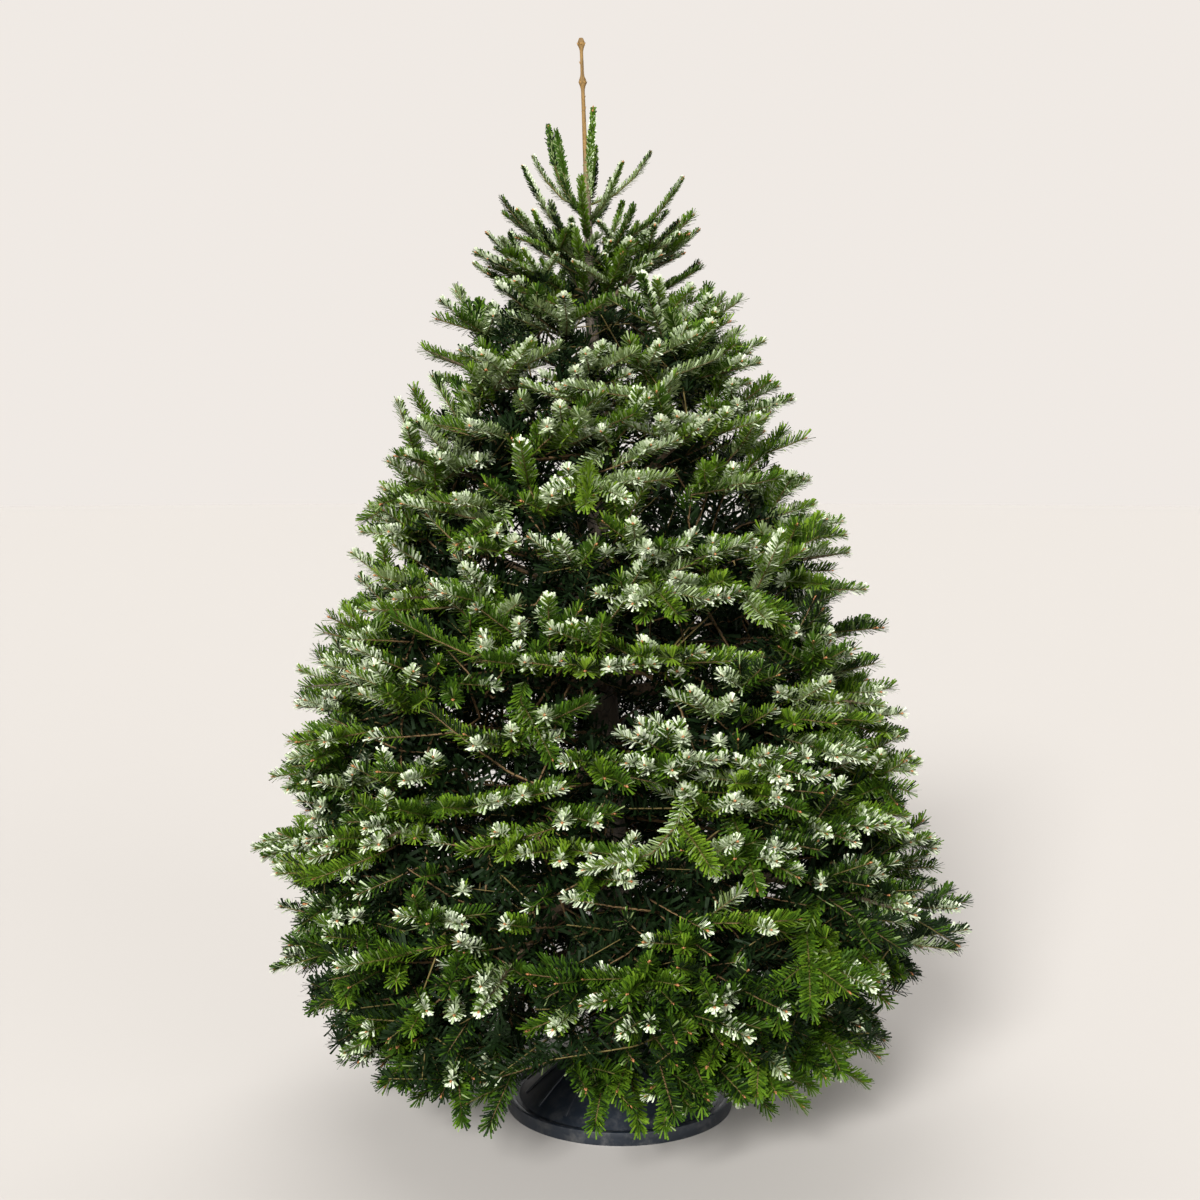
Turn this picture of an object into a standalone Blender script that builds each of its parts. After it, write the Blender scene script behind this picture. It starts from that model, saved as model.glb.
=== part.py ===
"""A cut fir tree in a round plastic stand, as separate solids: the stand and its clamp, the whole trunk with
its bare leader, the lower boughs, and the masses of needle shoots. Metres, +Z up, origin under the stand."""

import math
import random
from collections import namedtuple

import bmesh
import bpy
from mathutils import Matrix, Vector

# The whole tree
TREE_HEIGHT = 2.13
TIP_LEAN = -0.077  # how far the tip stands towards -X from the foot
CROWN_RADIUS = 0.720  # at the widest tier
CROWN_WIDEST_HEIGHT = 0.42
CROWN_TOP_HEIGHT = 1.90
CROWN_ONE_SIDED = 0.025  # how much further the lower boughs reach towards -X
FIT_GAP = 0.0003  # between two solids that touch

# The trunk
FOOT_HEIGHT = 0.0153
TRUNK_FOOT_RADIUS = 0.0445
TRUNK_FLARE = 0.006
TRUNK_FLARE_HEIGHT = 0.07
TRUNK_TOP_RADIUS = 0.0060
LEADER_FOOT_HEIGHT = 1.86
LEADER_TIP_RADIUS = 0.0030
KNOT_HEIGHTS = (2.045, 2.118)  # bud scars on the bare leader
KNOT_RADIUS = 0.0045
KNOT_SPREAD = 0.008
TRUNK_SIDES = 10
TRUNK_RINGS = 11

# The stand
STAND_RADIUS = 0.230
RIM_HEIGHT = 0.027
DOME_FOOT_RADIUS = 0.203
DOME_TOP_RADIUS = 0.104
DOME_HEIGHT = 0.112
SOCKET_RADIUS = 0.0515
SOCKET_FLOOR = 0.015
STAND_SIDES = 40
RIB_COUNT = 16
RIB_WIDTH = 0.005
RIB_PROUD = 0.0025
CLAW_COUNT = 4
CLAW_HEIGHT = 0.062
CLAW_WIDTH = 0.020
CLAMP_RING = (0.0560, 0.0900, 0.010)  # inner radius, outer radius, height

# The foliage
Tier = namedtuple("Tier", "name count turn height rise arch bare stations shoot")
# count of boughs, turn in degrees, height on the trunk, rise to the tip, arch between, the share of the reach
# that is a bare bough (0 where the mass starts at the trunk), stations of side shoots, and a shoot's width
TIERS = (
    Tier("tier_1", 5, 0, 0.330, -0.080, 0.030, 0.34, 3, 0.116),
    Tier("tier_2", 5, 36, 0.500, -0.030, 0.025, 0.33, 4, 0.114),
    Tier("tier_3", 5, 12, 0.680, 0.010, 0.020, 0.32, 4, 0.112),
    Tier("tier_4", 5, 50, 0.850, 0.060, 0.015, 0.0, 3, 0.108),
    Tier("tier_5", 5, 6, 1.025, 0.095, 0.010, 0.0, 3, 0.100),
    Tier("tier_6", 4, 30, 1.205, 0.125, 0.005, 0.0, 3, 0.092),
    Tier("tier_7", 4, 85, 1.390, 0.145, 0.0, 0.0, 3, 0.080),
    Tier("tier_8", 4, 20, 1.590, 0.165, 0.0, 0.0, 2, 0.066),
    Tier("tier_9", 3, 50, 1.835, 0.090, 0.0, 0.0, 0, 0.044),
)
WAVE = 0.060  # how far the boughs of a tier hang above or below its mean at their tips
UNDER_LOWEST = 0.22  # the sheet that would lie under the lowest tier
OVER_HIGHEST = 0.16
CELL_GAP = 0.006  # kept free on each side of a border between two masses
TRUNK_CLEAR = 0.012
OUTLINE_SLACK = 0.030  # how far a shoot's needles may pass the crown's outline
FLOOR_CLEAR = 0.125  # the lowest that a shoot hangs
SHOOT_FLATNESS = 1.05
SHOOTS_APART = 0.56  # of a shoot's width, between the outer halves of two shoots of a mass
# rise of the shoots that end a stem, and their share of the full length
END_SHOOTS = ((0.06, 1.0), (0.90, 0.85), (-0.60, 0.85))
# side shoots stand in two layers: rise, spread from the stem, and place between two stations
SIDE_LAYERS = ((0.62, math.radians(50), 0.20), (-0.50, math.radians(62), 0.55))
STEM_TIP_RADIUS = 0.0035
LEADER_SHOOT = (1.905, 0.098, 0.034)  # height on the trunk, length, width

COLOURS = {
    "stand_plastic": ((0.012, 0.017, 0.024), 0.42, 0.0),
    "clamp_metal": ((0.05, 0.055, 0.06), 0.4, 0.9),
    "trunk_bark": ((0.12, 0.085, 0.055), 0.85, 0.0),
    "bough_bark": ((0.16, 0.105, 0.055), 0.8, 0.0),
    "needles": ((0.045, 0.105, 0.030), 0.5, 0.0),
}


def clear_scene():
    for obj in list(bpy.data.objects):
        bpy.data.objects.remove(obj)


def material_for(name):
    found = bpy.data.materials.get(name)
    if found:
        return found
    made = bpy.data.materials.new(name)
    made.use_nodes = True
    colour, roughness, metallic = COLOURS[name]
    shader = made.node_tree.nodes["Principled BSDF"]
    shader.inputs["Base Color"].default_value = (*colour, 1)
    shader.inputs["Roughness"].default_value = roughness
    shader.inputs["Metallic"].default_value = metallic
    made.diffuse_color = (*colour, 1)
    return made


def object_from(bm, name, slot, smooth=False):
    mesh = bpy.data.meshes.new(name)
    bmesh.ops.recalc_face_normals(bm, faces=bm.faces)
    bm.to_mesh(mesh)
    bm.free()
    if smooth:
        mesh.shade_smooth()
        mesh.set_sharp_from_angle(angle=math.radians(40))
    mesh.materials.append(material_for(slot))
    obj = bpy.data.objects.new(name, mesh)
    bpy.context.scene.collection.objects.link(obj)
    return obj


def helper(obj):
    """A cutter or a piece to be joined, which isn't part of the tree by itself."""
    obj.hide_render = True
    obj.display_type = "WIRE"
    return obj


def trunk_centre(height):
    """The trunk's middle at this height: it leans evenly and sways a little."""
    share = height / TREE_HEIGHT
    sway = 0.005 * math.sin(share * math.tau * 1.6)
    return Vector((TIP_LEAN * share + sway * (1 - share), 0.6 * sway, height))


def trunk_radius(height):
    taper = max(0.0, (LEADER_FOOT_HEIGHT - height) / LEADER_FOOT_HEIGHT)
    radius = TRUNK_TOP_RADIUS + (TRUNK_FOOT_RADIUS - TRUNK_TOP_RADIUS) * taper
    radius += TRUNK_FLARE * math.exp(-height / TRUNK_FLARE_HEIGHT)
    if height > LEADER_FOOT_HEIGHT:
        share = (height - LEADER_FOOT_HEIGHT) / (TREE_HEIGHT - LEADER_FOOT_HEIGHT)
        radius = TRUNK_TOP_RADIUS + (LEADER_TIP_RADIUS - TRUNK_TOP_RADIUS) * share**0.5
    for knot in KNOT_HEIGHTS:
        radius += KNOT_RADIUS * math.exp(-(((height - knot) / KNOT_SPREAD) ** 2))
    return radius


def crown_radius(height, azimuth):
    """The crown's outline: nearly a cone, bellied a little, and drawn in under its widest tier."""
    share = (height - CROWN_WIDEST_HEIGHT) / (CROWN_TOP_HEIGHT - CROWN_WIDEST_HEIGHT)
    one_sided = 1 - CROWN_ONE_SIDED * math.cos(azimuth) * max(0.0, 1 - max(0.0, share))
    if share < 0:
        return CROWN_RADIUS * one_sided * (1 - 0.6 * share * share)
    return CROWN_RADIUS * one_sided * max(0.13, 1 - 0.45 * share - 0.34 * share * share)


def frame_along(direction, up=Vector((0, 0, 1))):
    """(side, up) square to a direction."""
    side = direction.cross(up)
    if side.length < 1e-3:
        side = direction.cross(Vector((0, 1, 0)))
    side.normalize()
    return side, side.cross(direction).normalized()


def ring_of(bm, centre, side, up, radius, sides, flat=1.0, turn=0.0):
    angles = [turn + math.tau * i / sides for i in range(sides)]
    return [
        bm.verts.new(centre + side * (radius * math.cos(a)) + up * (radius * flat * math.sin(a)))
        for a in angles
    ]


def skin_rings(bm, rings):
    """Joins rings of equal count, or a lone vertex at an end, into one closed skin."""
    for low, high in zip(rings, rings[1:]):
        count = max(len(low), len(high))
        for i in range(count):
            j = (i + 1) % count
            if len(low) == 1:
                bm.faces.new((low[0], high[j], high[i]))
            elif len(high) == 1:
                bm.faces.new((low[i], low[j], high[0]))
            else:
                bm.faces.new((low[i], low[j], high[j], high[i]))
    for end in (rings[0], rings[-1]):
        if len(end) > 2:
            bm.faces.new(end)


def limb_mesh(centres, radii, sides, first=None, last=None):
    """A tapering limb through its centres. Each cross-section is square to the run, or to first or last."""
    bm = bmesh.new()
    rings = []
    for i, centre in enumerate(centres):
        before, after = centres[max(i - 1, 0)], centres[min(i + 1, len(centres) - 1)]
        way = (after - before).normalized()
        if first and i == 0:
            way = first
        if last and i == len(centres) - 1:
            way = last
        side, up = frame_along(way)
        rings.append(ring_of(bm, centre, side, up, radii[i], sides, turn=math.pi / 2))
    skin_rings(bm, rings)
    return bm


def make_trunk(name, extra=0.0):
    """The trunk from its flat cut to the tip of the bare leader. With extra it is the cutter round it."""
    step = (LEADER_FOOT_HEIGHT - FOOT_HEIGHT) / TRUNK_RINGS
    heights = [FOOT_HEIGHT + step * i for i in range(TRUNK_RINGS + 1)]
    heights.insert(1, FOOT_HEIGHT + TRUNK_FLARE_HEIGHT)
    heights.append(1.95)
    for knot in KNOT_HEIGHTS:
        heights += [knot - 1.7 * KNOT_SPREAD, knot]
    heights.insert(-2, KNOT_HEIGHTS[0] + 1.7 * KNOT_SPREAD)
    heights.append(TREE_HEIGHT)
    bm = bmesh.new()
    rings = []
    for height in heights:
        radius = trunk_radius(height) + extra
        rings.append(
            ring_of(bm, trunk_centre(height), Vector((1, 0, 0)), Vector((0, 1, 0)), radius, TRUNK_SIDES)
        )
    skin_rings(bm, rings)
    return object_from(bm, name, "trunk_bark", smooth=True)


def turned(profile, sides, name, slot):
    """A solid turned about the stand's axis from a profile of (radius, height), both ends on the axis."""
    bm = bmesh.new()
    rings = []
    for radius, height in profile:
        if radius == 0:
            rings.append([bm.verts.new((0, 0, height))])
        else:
            middle = Vector((0, 0, height))
            rings.append(ring_of(bm, middle, Vector((1, 0, 0)), Vector((0, 1, 0)), radius, sides))
    skin_rings(bm, rings)
    return object_from(bm, name, slot, smooth=True)


def box_between(start, end, width, height, up):
    """A bar from start to end, square in section."""
    along = (end - start).normalized()
    side, lift = frame_along(along, up)
    bm = bmesh.new()
    rings = []
    for point in (start, end):
        corners = ((-1, -1), (1, -1), (1, 1), (-1, 1))
        rings.append(
            [bm.verts.new(point + side * (width / 2 * a) + lift * (height / 2 * b)) for a, b in corners]
        )
    skin_rings(bm, rings)
    return bm


def one_body(mesh):
    """Whether each edge has two faces and all the vertices hang together."""
    bm = bmesh.new()
    bm.from_mesh(mesh)
    whole = len(bm.faces) > 0 and all(len(edge.link_faces) == 2 for edge in bm.edges)
    if whole:
        bm.verts.ensure_lookup_table()
        seen, waiting = {bm.verts[0]}, [bm.verts[0]]
        while waiting:
            for edge in waiting.pop().link_edges:
                for vert in edge.verts:
                    if vert not in seen:
                        seen.add(vert)
                        waiting.append(vert)
        whole = len(seen) == len(bm.verts)
    bm.free()
    return whole


def boolean(obj, operation, operand):
    """A Boolean with one object or a collection, applied. The second solver is for what the first fails."""
    cut = obj.modifiers.new("fit", "BOOLEAN")
    cut.operation = operation
    if isinstance(operand, bpy.types.Collection):
        cut.operand_type = "COLLECTION"
        cut.collection = operand
    else:
        cut.object = operand
    for solver in ("EXACT", "MANIFOLD"):
        cut.solver = solver
        bpy.context.view_layer.update()
        mesh = bpy.data.meshes.new_from_object(obj.evaluated_get(bpy.context.evaluated_depsgraph_get()))
        if one_body(mesh):
            break
    obj.modifiers.clear()
    old = obj.data
    obj.data = mesh
    bpy.data.meshes.remove(old)


def join_in(base, pieces):
    """Fuses the pieces with base by one Boolean union on their collection, applies it, and removes them."""
    group = bpy.data.collections.new("joined_to_" + base.name)
    bpy.context.scene.collection.children.link(group)
    for piece in pieces:
        bpy.context.scene.collection.objects.unlink(piece)
        group.objects.link(piece)
    boolean(base, "UNION", group)
    for piece in pieces:
        bpy.data.objects.remove(piece)
    bpy.data.collections.remove(group)


def cut_clear(obj, cutter):
    boolean(obj, "DIFFERENCE", cutter)


def make_stand():
    """The moulded stand: a ribbed low dome with a rim band, and the socket that holds the trunk's foot."""
    edge = 0.002
    profile = (
        (0, SOCKET_FLOOR),
        (SOCKET_RADIUS, SOCKET_FLOOR),
        (SOCKET_RADIUS, DOME_HEIGHT),
        (DOME_TOP_RADIUS - 0.006, DOME_HEIGHT),
        (DOME_TOP_RADIUS, DOME_HEIGHT - 0.006),
        (DOME_FOOT_RADIUS, RIM_HEIGHT - 0.004),
        (DOME_FOOT_RADIUS + 0.012, RIM_HEIGHT - 0.006),
        (DOME_FOOT_RADIUS + 0.015, RIM_HEIGHT),
        (STAND_RADIUS - edge, RIM_HEIGHT),
        (STAND_RADIUS, RIM_HEIGHT - edge),
        (STAND_RADIUS, edge),
        (STAND_RADIUS - edge, 0),
        (0, 0),
    )
    base = turned(profile, STAND_SIDES, "stand_base", "stand_plastic")
    slope = Vector((DOME_FOOT_RADIUS - DOME_TOP_RADIUS, 0, RIM_HEIGHT - DOME_HEIGHT)).normalized()
    outward = Vector((-slope.z, 0, slope.x))
    high = Vector((DOME_TOP_RADIUS, 0, DOME_HEIGHT - 0.006)) + slope * 0.012
    low = Vector((DOME_FOOT_RADIUS, 0, RIM_HEIGHT - 0.004)) - slope * 0.010
    ribs = []
    for i in range(RIB_COUNT):
        turn = Matrix.Rotation(math.tau * (i + 0.5) / RIB_COUNT, 4, "Z")
        bm = box_between(high, low, RIB_WIDTH, 4 * RIB_PROUD, outward)
        bmesh.ops.transform(bm, matrix=turn @ Matrix.Translation(outward * -RIB_PROUD), verts=bm.verts)
        ribs.append(helper(object_from(bm, f"rib_{i}", "stand_plastic")))
    join_in(base, ribs)
    return base


def make_clamp():
    """The ring on the dome and its claws, which lean in and hold the trunk."""
    inner, outer, height = CLAMP_RING
    foot = DOME_HEIGHT + FIT_GAP
    bm = bmesh.new()
    across = ((inner, foot), (outer, foot), (outer - 0.003, foot + height), (inner, foot + height))
    sides = 24
    loops = []
    for radius, level in across:
        middle = Vector((0, 0, level))
        loops.append(ring_of(bm, middle, Vector((1, 0, 0)), Vector((0, 1, 0)), radius, sides))
    for low, high in zip(loops, loops[1:] + loops[:1]):
        for i in range(sides):
            j = (i + 1) % sides
            bm.faces.new((low[i], low[j], high[j], high[i]))
    clamp = object_from(bm, "stand_clamp", "clamp_metal", smooth=True)
    claws = []
    for i in range(CLAW_COUNT):
        angle = math.tau * (i + 0.5) / CLAW_COUNT
        way = Vector((math.cos(angle), math.sin(angle), 0))
        top = foot + CLAW_HEIGHT
        shoulder = way * (outer - 0.014) + Vector((0, 0, foot + 0.003))
        knee = way * (outer - 0.016) + Vector((0, 0, top - 0.012))
        hold = trunk_centre(top)
        tip = Vector((hold.x, hold.y, top)) + way * (trunk_radius(top) - 0.003)
        claws.append(box_between(shoulder, knee, CLAW_WIDTH, 0.010, way))
        bend = knee - Vector((0, 0, 0.004)) + way * 0.004
        claws.append(box_between(bend, tip, CLAW_WIDTH * 0.8, 0.010, Vector((0, 0, 1))))
    claws = [helper(object_from(bm, f"claw_{i}", "clamp_metal")) for i, bm in enumerate(claws)]
    join_in(clamp, claws)
    return clamp


def reach_of(tier, azimuth):
    return crown_radius(tier.height + tier.rise, azimuth)


def sheet_height(tier, azimuth, distance):
    """The height of a tier's boughs at this distance. Some boughs of a tier hang lower than others."""
    share = distance / reach_of(tier, azimuth)
    arch = tier.arch * 4 * share * (1 - share) if share < 1 else 0.0
    wave = WAVE * min(1.0, share) * math.sin(3 * azimuth + tier.turn)
    return tier.height + tier.rise * share + arch + wave


def on_sheet(tier, azimuth, distance):
    height = sheet_height(tier, azimuth, distance)
    out = Vector((math.cos(azimuth), math.sin(azimuth), 0))
    return trunk_centre(height) + out * distance


def joint_of(tier, azimuth):
    """(point, direction) where a bough ends and its mass starts."""
    distance = tier.bare * reach_of(tier, azimuth)
    way = on_sheet(tier, azimuth, distance + 0.004) - on_sheet(tier, azimuth, distance - 0.004)
    return on_sheet(tier, azimuth, distance), way.normalized()


class Cell:
    """The space that one mass keeps to: a wedge between the sheets under and over its tier."""

    def __init__(self, index, azimuth):
        self.tier = TIERS[index]
        self.azimuth = azimuth
        self.half = math.pi / self.tier.count
        self.under = TIERS[index - 1] if index else None
        self.over = TIERS[index + 1] if index + 1 < len(TIERS) else None

    def borders(self, azimuth, distance):
        middle = sheet_height(self.tier, azimuth, distance)
        low = sheet_height(self.under, azimuth, distance) if self.under else middle - UNDER_LOWEST
        high = sheet_height(self.over, azimuth, distance) if self.over else middle + OVER_HIGHEST
        return max((low + middle) / 2 + CELL_GAP, FLOOR_CLEAR), (middle + high) / 2 - CELL_GAP

    def holds(self, point):
        offset = point - trunk_centre(point.z)
        distance = math.hypot(offset.x, offset.y)
        azimuth = math.atan2(offset.y, offset.x)
        if distance < trunk_radius(point.z) + TRUNK_CLEAR:
            return False
        if distance > crown_radius(point.z, azimuth) + OUTLINE_SLACK:
            return False
        low, high = self.borders(azimuth, distance)
        if not low < point.z < high:
            return False
        turn = abs((azimuth - self.azimuth + math.pi) % math.tau - math.pi)
        return distance * math.sin(max(0.0, self.half - turn)) > CELL_GAP


def shoot_mesh(root, direction, length, width, teeth, up):
    """One shoot of needles: a slim core whose needles stand out of it as swept rings of teeth."""
    side, lift = frame_along(direction, up)
    bm = bmesh.new()
    rings = [[bm.verts.new(root)]]

    def add_ring(share, radius):
        middle = root + direction * (length * share)
        rings.append(ring_of(bm, middle, side, lift, radius, 3, SHOOT_FLATNESS, math.pi / 2))

    step = 1 / (teeth + 0.45)
    for i in range(teeth):
        share = step * (i + 0.85)
        full = width / 2 * (0.72 + 0.28 * math.sin(math.pi * min(1.0, share * 1.1)))
        add_ring(share, full)
        if i < teeth - 1:
            add_ring(share - 0.22 * step, full * 0.36)
    rings.append([bm.verts.new(root + direction * length)])
    skin_rings(bm, rings)
    return bm


def fitted_shoot(cell, taken, root, direction, length, width, up, least=0.35):
    """The longest shoot, down to a least share, that stays in its space and off the taken points."""
    share = 1.0
    while share >= least:
        now = length * share
        side, lift = frame_along(direction, up)
        reach = [root + direction * (now * t) for t in (0.45, 0.62, 0.8, 1.0)]
        spread = [
            p + way * (width / 2 * size)
            for p, size in zip(reach, (1, 1, 1, 0.4))
            for way in (side, -side, lift, -lift)
        ]
        apart = SHOOTS_APART * width
        if all(cell.holds(p) for p in reach + spread) and all(
            (p - other).length > apart for p in reach for other in taken
        ):
            taken += reach
            teeth = 2 if now < 0.21 else 3
            return shoot_mesh(root, direction, now, width, teeth, up), now
        share -= 0.125
    return None


def grow_mass(index, number):
    """One mass: a stem along its tier, side shoots in pairs in a rising and a falling layer, and the
    shoots that end it."""
    tier = TIERS[index]
    azimuth = math.radians(tier.turn) + math.tau * number / tier.count
    cell = Cell(index, azimuth)
    name = f"{tier.name}_mass_{number + 1}"
    rule = random.Random(name)
    reach = reach_of(tier, azimuth)
    sway = rule.uniform(-0.05, 0.05)
    start = tier.bare * reach if tier.bare else trunk_radius(tier.height) * 0.5
    tip = min(0.13, 0.62 * reach)
    end = reach - tip
    steps = 4 if tier.stations > 1 else 2
    distances = [start + (end - start) * i / steps for i in range(steps + 1)]

    def along(distance):
        bend = sway * max(0.0, distance - start)
        return on_sheet(tier, azimuth + bend, distance)

    root_radius = bough_radius(tier, distances[0] / reach)
    radii = [root_radius + (STEM_TIP_RADIUS - root_radius) * i / steps for i in range(steps + 1)]
    centres = [along(d) for d in distances]
    way = None
    if tier.bare:
        joint, way = joint_of(tier, azimuth)
        centres[0] = joint + way * FIT_GAP
    stem = object_from(limb_mesh(centres, radii, 3, first=way), name, "needles")
    shoots = []
    taken = []

    def add(root, direction, length, width, up, least=0.35):
        made = fitted_shoot(cell, taken, root, direction.normalized(), length, width, up, least)
        if made:
            shoots.append(helper(object_from(made[0], f"shoot_{len(shoots)}", "needles")))
        return made

    run = (along(end) - along(end - 0.02)).normalized()
    up = frame_along(run)[1]
    sunk = along(end - 0.012)
    for pitch, size in END_SHOOTS:
        add(sunk, run + up * pitch, (tip + 0.02) * size, tier.shoot, up, 0.3)
    first = max(distances[0], 0.16 * reach + 0.05)
    for station in range(tier.stations):
        for pitch, spread, offset in SIDE_LAYERS:
            distance = first + (end - first) * (station + offset) / tier.stations
            root = along(distance)
            run = (along(distance + 0.01) - root).normalized()
            side, up = frame_along(run)
            wide = distance * math.sin(cell.half) / math.sin(spread)
            length = min(0.30, 0.95 * wide, (reach + 0.04 - distance) / math.cos(spread))
            for way in (-1, 1):
                turn = spread * rule.uniform(0.88, 1.1)
                lift = pitch * rule.uniform(0.85, 1.15)
                heading = (run * math.cos(turn) + side * (way * math.sin(turn)) + up * lift).normalized()
                add(root - heading * 0.004, heading, length, tier.shoot, up)
    if shoots:
        join_in(stem, shoots)
    return stem


def bough_radius(tier, share):
    """A bough's radius at a share of its reach. Lower boughs are stouter."""
    foot = 0.0065 + 0.012 * crown_radius(tier.height + tier.rise, math.pi / 2)
    return foot * (1 - 0.62 * share)


def make_bough(index, number):
    tier = TIERS[index]
    azimuth = math.radians(tier.turn) + math.tau * number / tier.count
    start = trunk_radius(tier.height) * 0.6
    reach = reach_of(tier, azimuth)
    end = tier.bare * reach
    distances = [start + (end - start) * i / 3 for i in range(4)]
    centres = [on_sheet(tier, azimuth, d) for d in distances]
    radii = [bough_radius(tier, d / reach) for d in distances]
    radii[0] *= 1.25
    name = f"{tier.name}_bough_{number + 1}"
    _, way = joint_of(tier, azimuth)
    return object_from(limb_mesh(centres, radii, 5, last=way), name, "bough_bark", smooth=True)


def make_leader_shoot():
    """The short shoot that stands beside the bare leader and still has its needles."""
    height, length, width = LEADER_SHOOT
    start = trunk_centre(height)
    side = Vector((1, -0.18, 0)).normalized()
    root = start + side * 0.002
    bend = start + side * (width * 0.62) + Vector((0, 0, 0.030))
    stem = object_from(limb_mesh([root, bend], [0.0040, 0.0028], 3), "leader_mass", "needles")
    up = Vector((0, 0, 1))
    shoot = shoot_mesh(bend - up * 0.012, up, length - 0.018, width, 3, Vector((0, 1, 0)))
    join_in(stem, [helper(object_from(shoot, "leader_needles", "needles"))])
    return stem


def main():
    clear_scene()
    make_stand()
    make_trunk("trunk")
    cutter = helper(make_trunk("trunk_clearance", FIT_GAP))
    cut_clear(make_clamp(), cutter)
    for index, tier in enumerate(TIERS):
        for number in range(tier.count):
            if tier.bare:
                cut_clear(make_bough(index, number), cutter)
            mass = grow_mass(index, number)
            if not tier.bare:
                cut_clear(mass, cutter)
    cut_clear(make_leader_shoot(), cutter)


main()
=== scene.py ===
"""Finishes the cut fir tree in its stand: bark, boughs, twigs, needles, buds, the ribbed stand and its clamp."""

import math
import random
from collections import namedtuple

import bmesh
import bpy
import numpy as np
from mathutils import Matrix, Vector, noise


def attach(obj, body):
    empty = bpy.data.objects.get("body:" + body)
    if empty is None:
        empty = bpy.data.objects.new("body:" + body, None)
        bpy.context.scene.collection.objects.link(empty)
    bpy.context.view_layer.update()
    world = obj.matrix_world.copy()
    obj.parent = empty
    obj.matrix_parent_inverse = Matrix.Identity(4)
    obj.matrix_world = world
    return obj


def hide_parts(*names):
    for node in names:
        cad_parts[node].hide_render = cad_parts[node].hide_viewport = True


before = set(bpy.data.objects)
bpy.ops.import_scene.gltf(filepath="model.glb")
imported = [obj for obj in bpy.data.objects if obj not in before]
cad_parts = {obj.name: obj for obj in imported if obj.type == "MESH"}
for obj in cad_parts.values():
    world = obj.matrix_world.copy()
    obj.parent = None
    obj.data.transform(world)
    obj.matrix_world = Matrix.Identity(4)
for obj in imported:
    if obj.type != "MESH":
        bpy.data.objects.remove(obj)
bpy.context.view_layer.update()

# The growth rule of the solids, in the same metres
TREE_HEIGHT = 2.13
TIP_LEAN = -0.077
CROWN_RADIUS = 0.720
CROWN_WIDEST_HEIGHT = 0.42
CROWN_TOP_HEIGHT = 1.90
CROWN_ONE_SIDED = 0.025
FOOT_HEIGHT = 0.0153
TRUNK_FOOT_RADIUS = 0.0445
TRUNK_FLARE = 0.006
TRUNK_FLARE_HEIGHT = 0.07
TRUNK_TOP_RADIUS = 0.0060
LEADER_FOOT_HEIGHT = 1.86
LEADER_TIP_RADIUS = 0.0030
KNOT_HEIGHTS = (2.045, 2.118)
KNOT_RADIUS = 0.0045
KNOT_SPREAD = 0.008
WAVE = 0.060
UNDER_LOWEST = 0.22
OVER_HIGHEST = 0.16
FLOOR_CLEAR = 0.105

# a tier's turn is in degrees; rise and arch shape the sheet that its boughs lie on
Tier = namedtuple("Tier", "name count turn height rise arch bare")
TIERS = (
    Tier("tier_1", 5, 0, 0.330, -0.080, 0.030, 0.34),
    Tier("tier_2", 5, 36, 0.500, -0.030, 0.025, 0.33),
    Tier("tier_3", 5, 12, 0.680, 0.010, 0.020, 0.32),
    Tier("tier_4", 5, 50, 0.850, 0.060, 0.015, 0.0),
    Tier("tier_5", 5, 6, 1.025, 0.095, 0.010, 0.0),
    Tier("tier_6", 4, 30, 1.205, 0.125, 0.005, 0.0),
    Tier("tier_7", 4, 85, 1.390, 0.145, 0.0, 0.0),
    Tier("tier_8", 4, 20, 1.590, 0.165, 0.0, 0.0),
    Tier("tier_9", 3, 50, 1.835, 0.090, 0.0, 0.0),
)

# What the rule is carried to here: years of growth, from the tip back
NODE_GAP = (0.0, 0.140, 0.105, 0.095)  # between two years' nodes, by order of the limb
FINEST_ORDER = 3  # whose limbs still have side limbs; a main bough is of the first order
CHILD_SHARE = 0.62  # a side limb's length, of its parent's beyond it
CHILD_LEAST = 0.034
CHILD_SHORTEST = 0.045
CHILD_LONGEST = 0.30
TWIG_TIP_RADIUS = 0.0013
NEEDLED_LENGTH = 0.30  # of a limb, from its tip back
CELL_SLACK = 0.035  # how far the finest twigs of two masses grow into each other
CELL_TURN_SLACK = 0.5
OUTLINE_SLACK = 0.006
WIDEST_SIDE = 0.702  # no twig reaches further than this to the front or the back
STAND_REACH, STAND_CLEAR = 0.26, 0.16  # nearer to the trunk than the first no side limb is under the second
WINDOW_X, WINDOW_Y, WINDOW_TOP = (-0.22, -0.07), -0.22, 0.28  # the gap that shows the stand's dome
# the foliage draws in near its foot, and a little more on the tree's +X side
SKIRT_FOOT, SKIRT_SPAN = 0.15, 0.25
SKIRT_DRAW, SKIRT_DRAW_ASIDE = 0.24, 0.07
OUTER_DEPTH = 0.145  # the outer years of growth, whose needles are seen one by one
TOP_DEPTH = 0.08  # what is added to it near the top, where the crown is open
TOP_DEPTH_FROM, TOP_DEPTH_SPAN = 1.45, 0.25
INNER_DEPTH = 0.250  # needles are kept this far in from the crown's outline
CARRIER_DEPTH = 0.07  # sprays start from limbs that are further in than this
BUD_DEPTH = 0.10  # and buds are made no further in than this
SPRAY_GAPS = (0.089, 0.085, 0.086, 0.089, 0.095, 0.105, 0.116, 0.126)  # over the crown's outline, by tier
SPRAY_MARGIN = 0.02  # how far a mass's sprays go under and over its share of the outline
LESSER_BOUGH_TIERS = 5
SKY_GAP_TIER = 5  # from this tier up the sky shows between the tiers
HANGING_RINGS = 4  # of sprays over the stand
SHADED_GAP = 0.104  # between two shaded shoots inside the crown
SHADED_RINGS = (4, 5, 5, 5, 4, 2, 1, 0)  # of them, by tier
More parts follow.
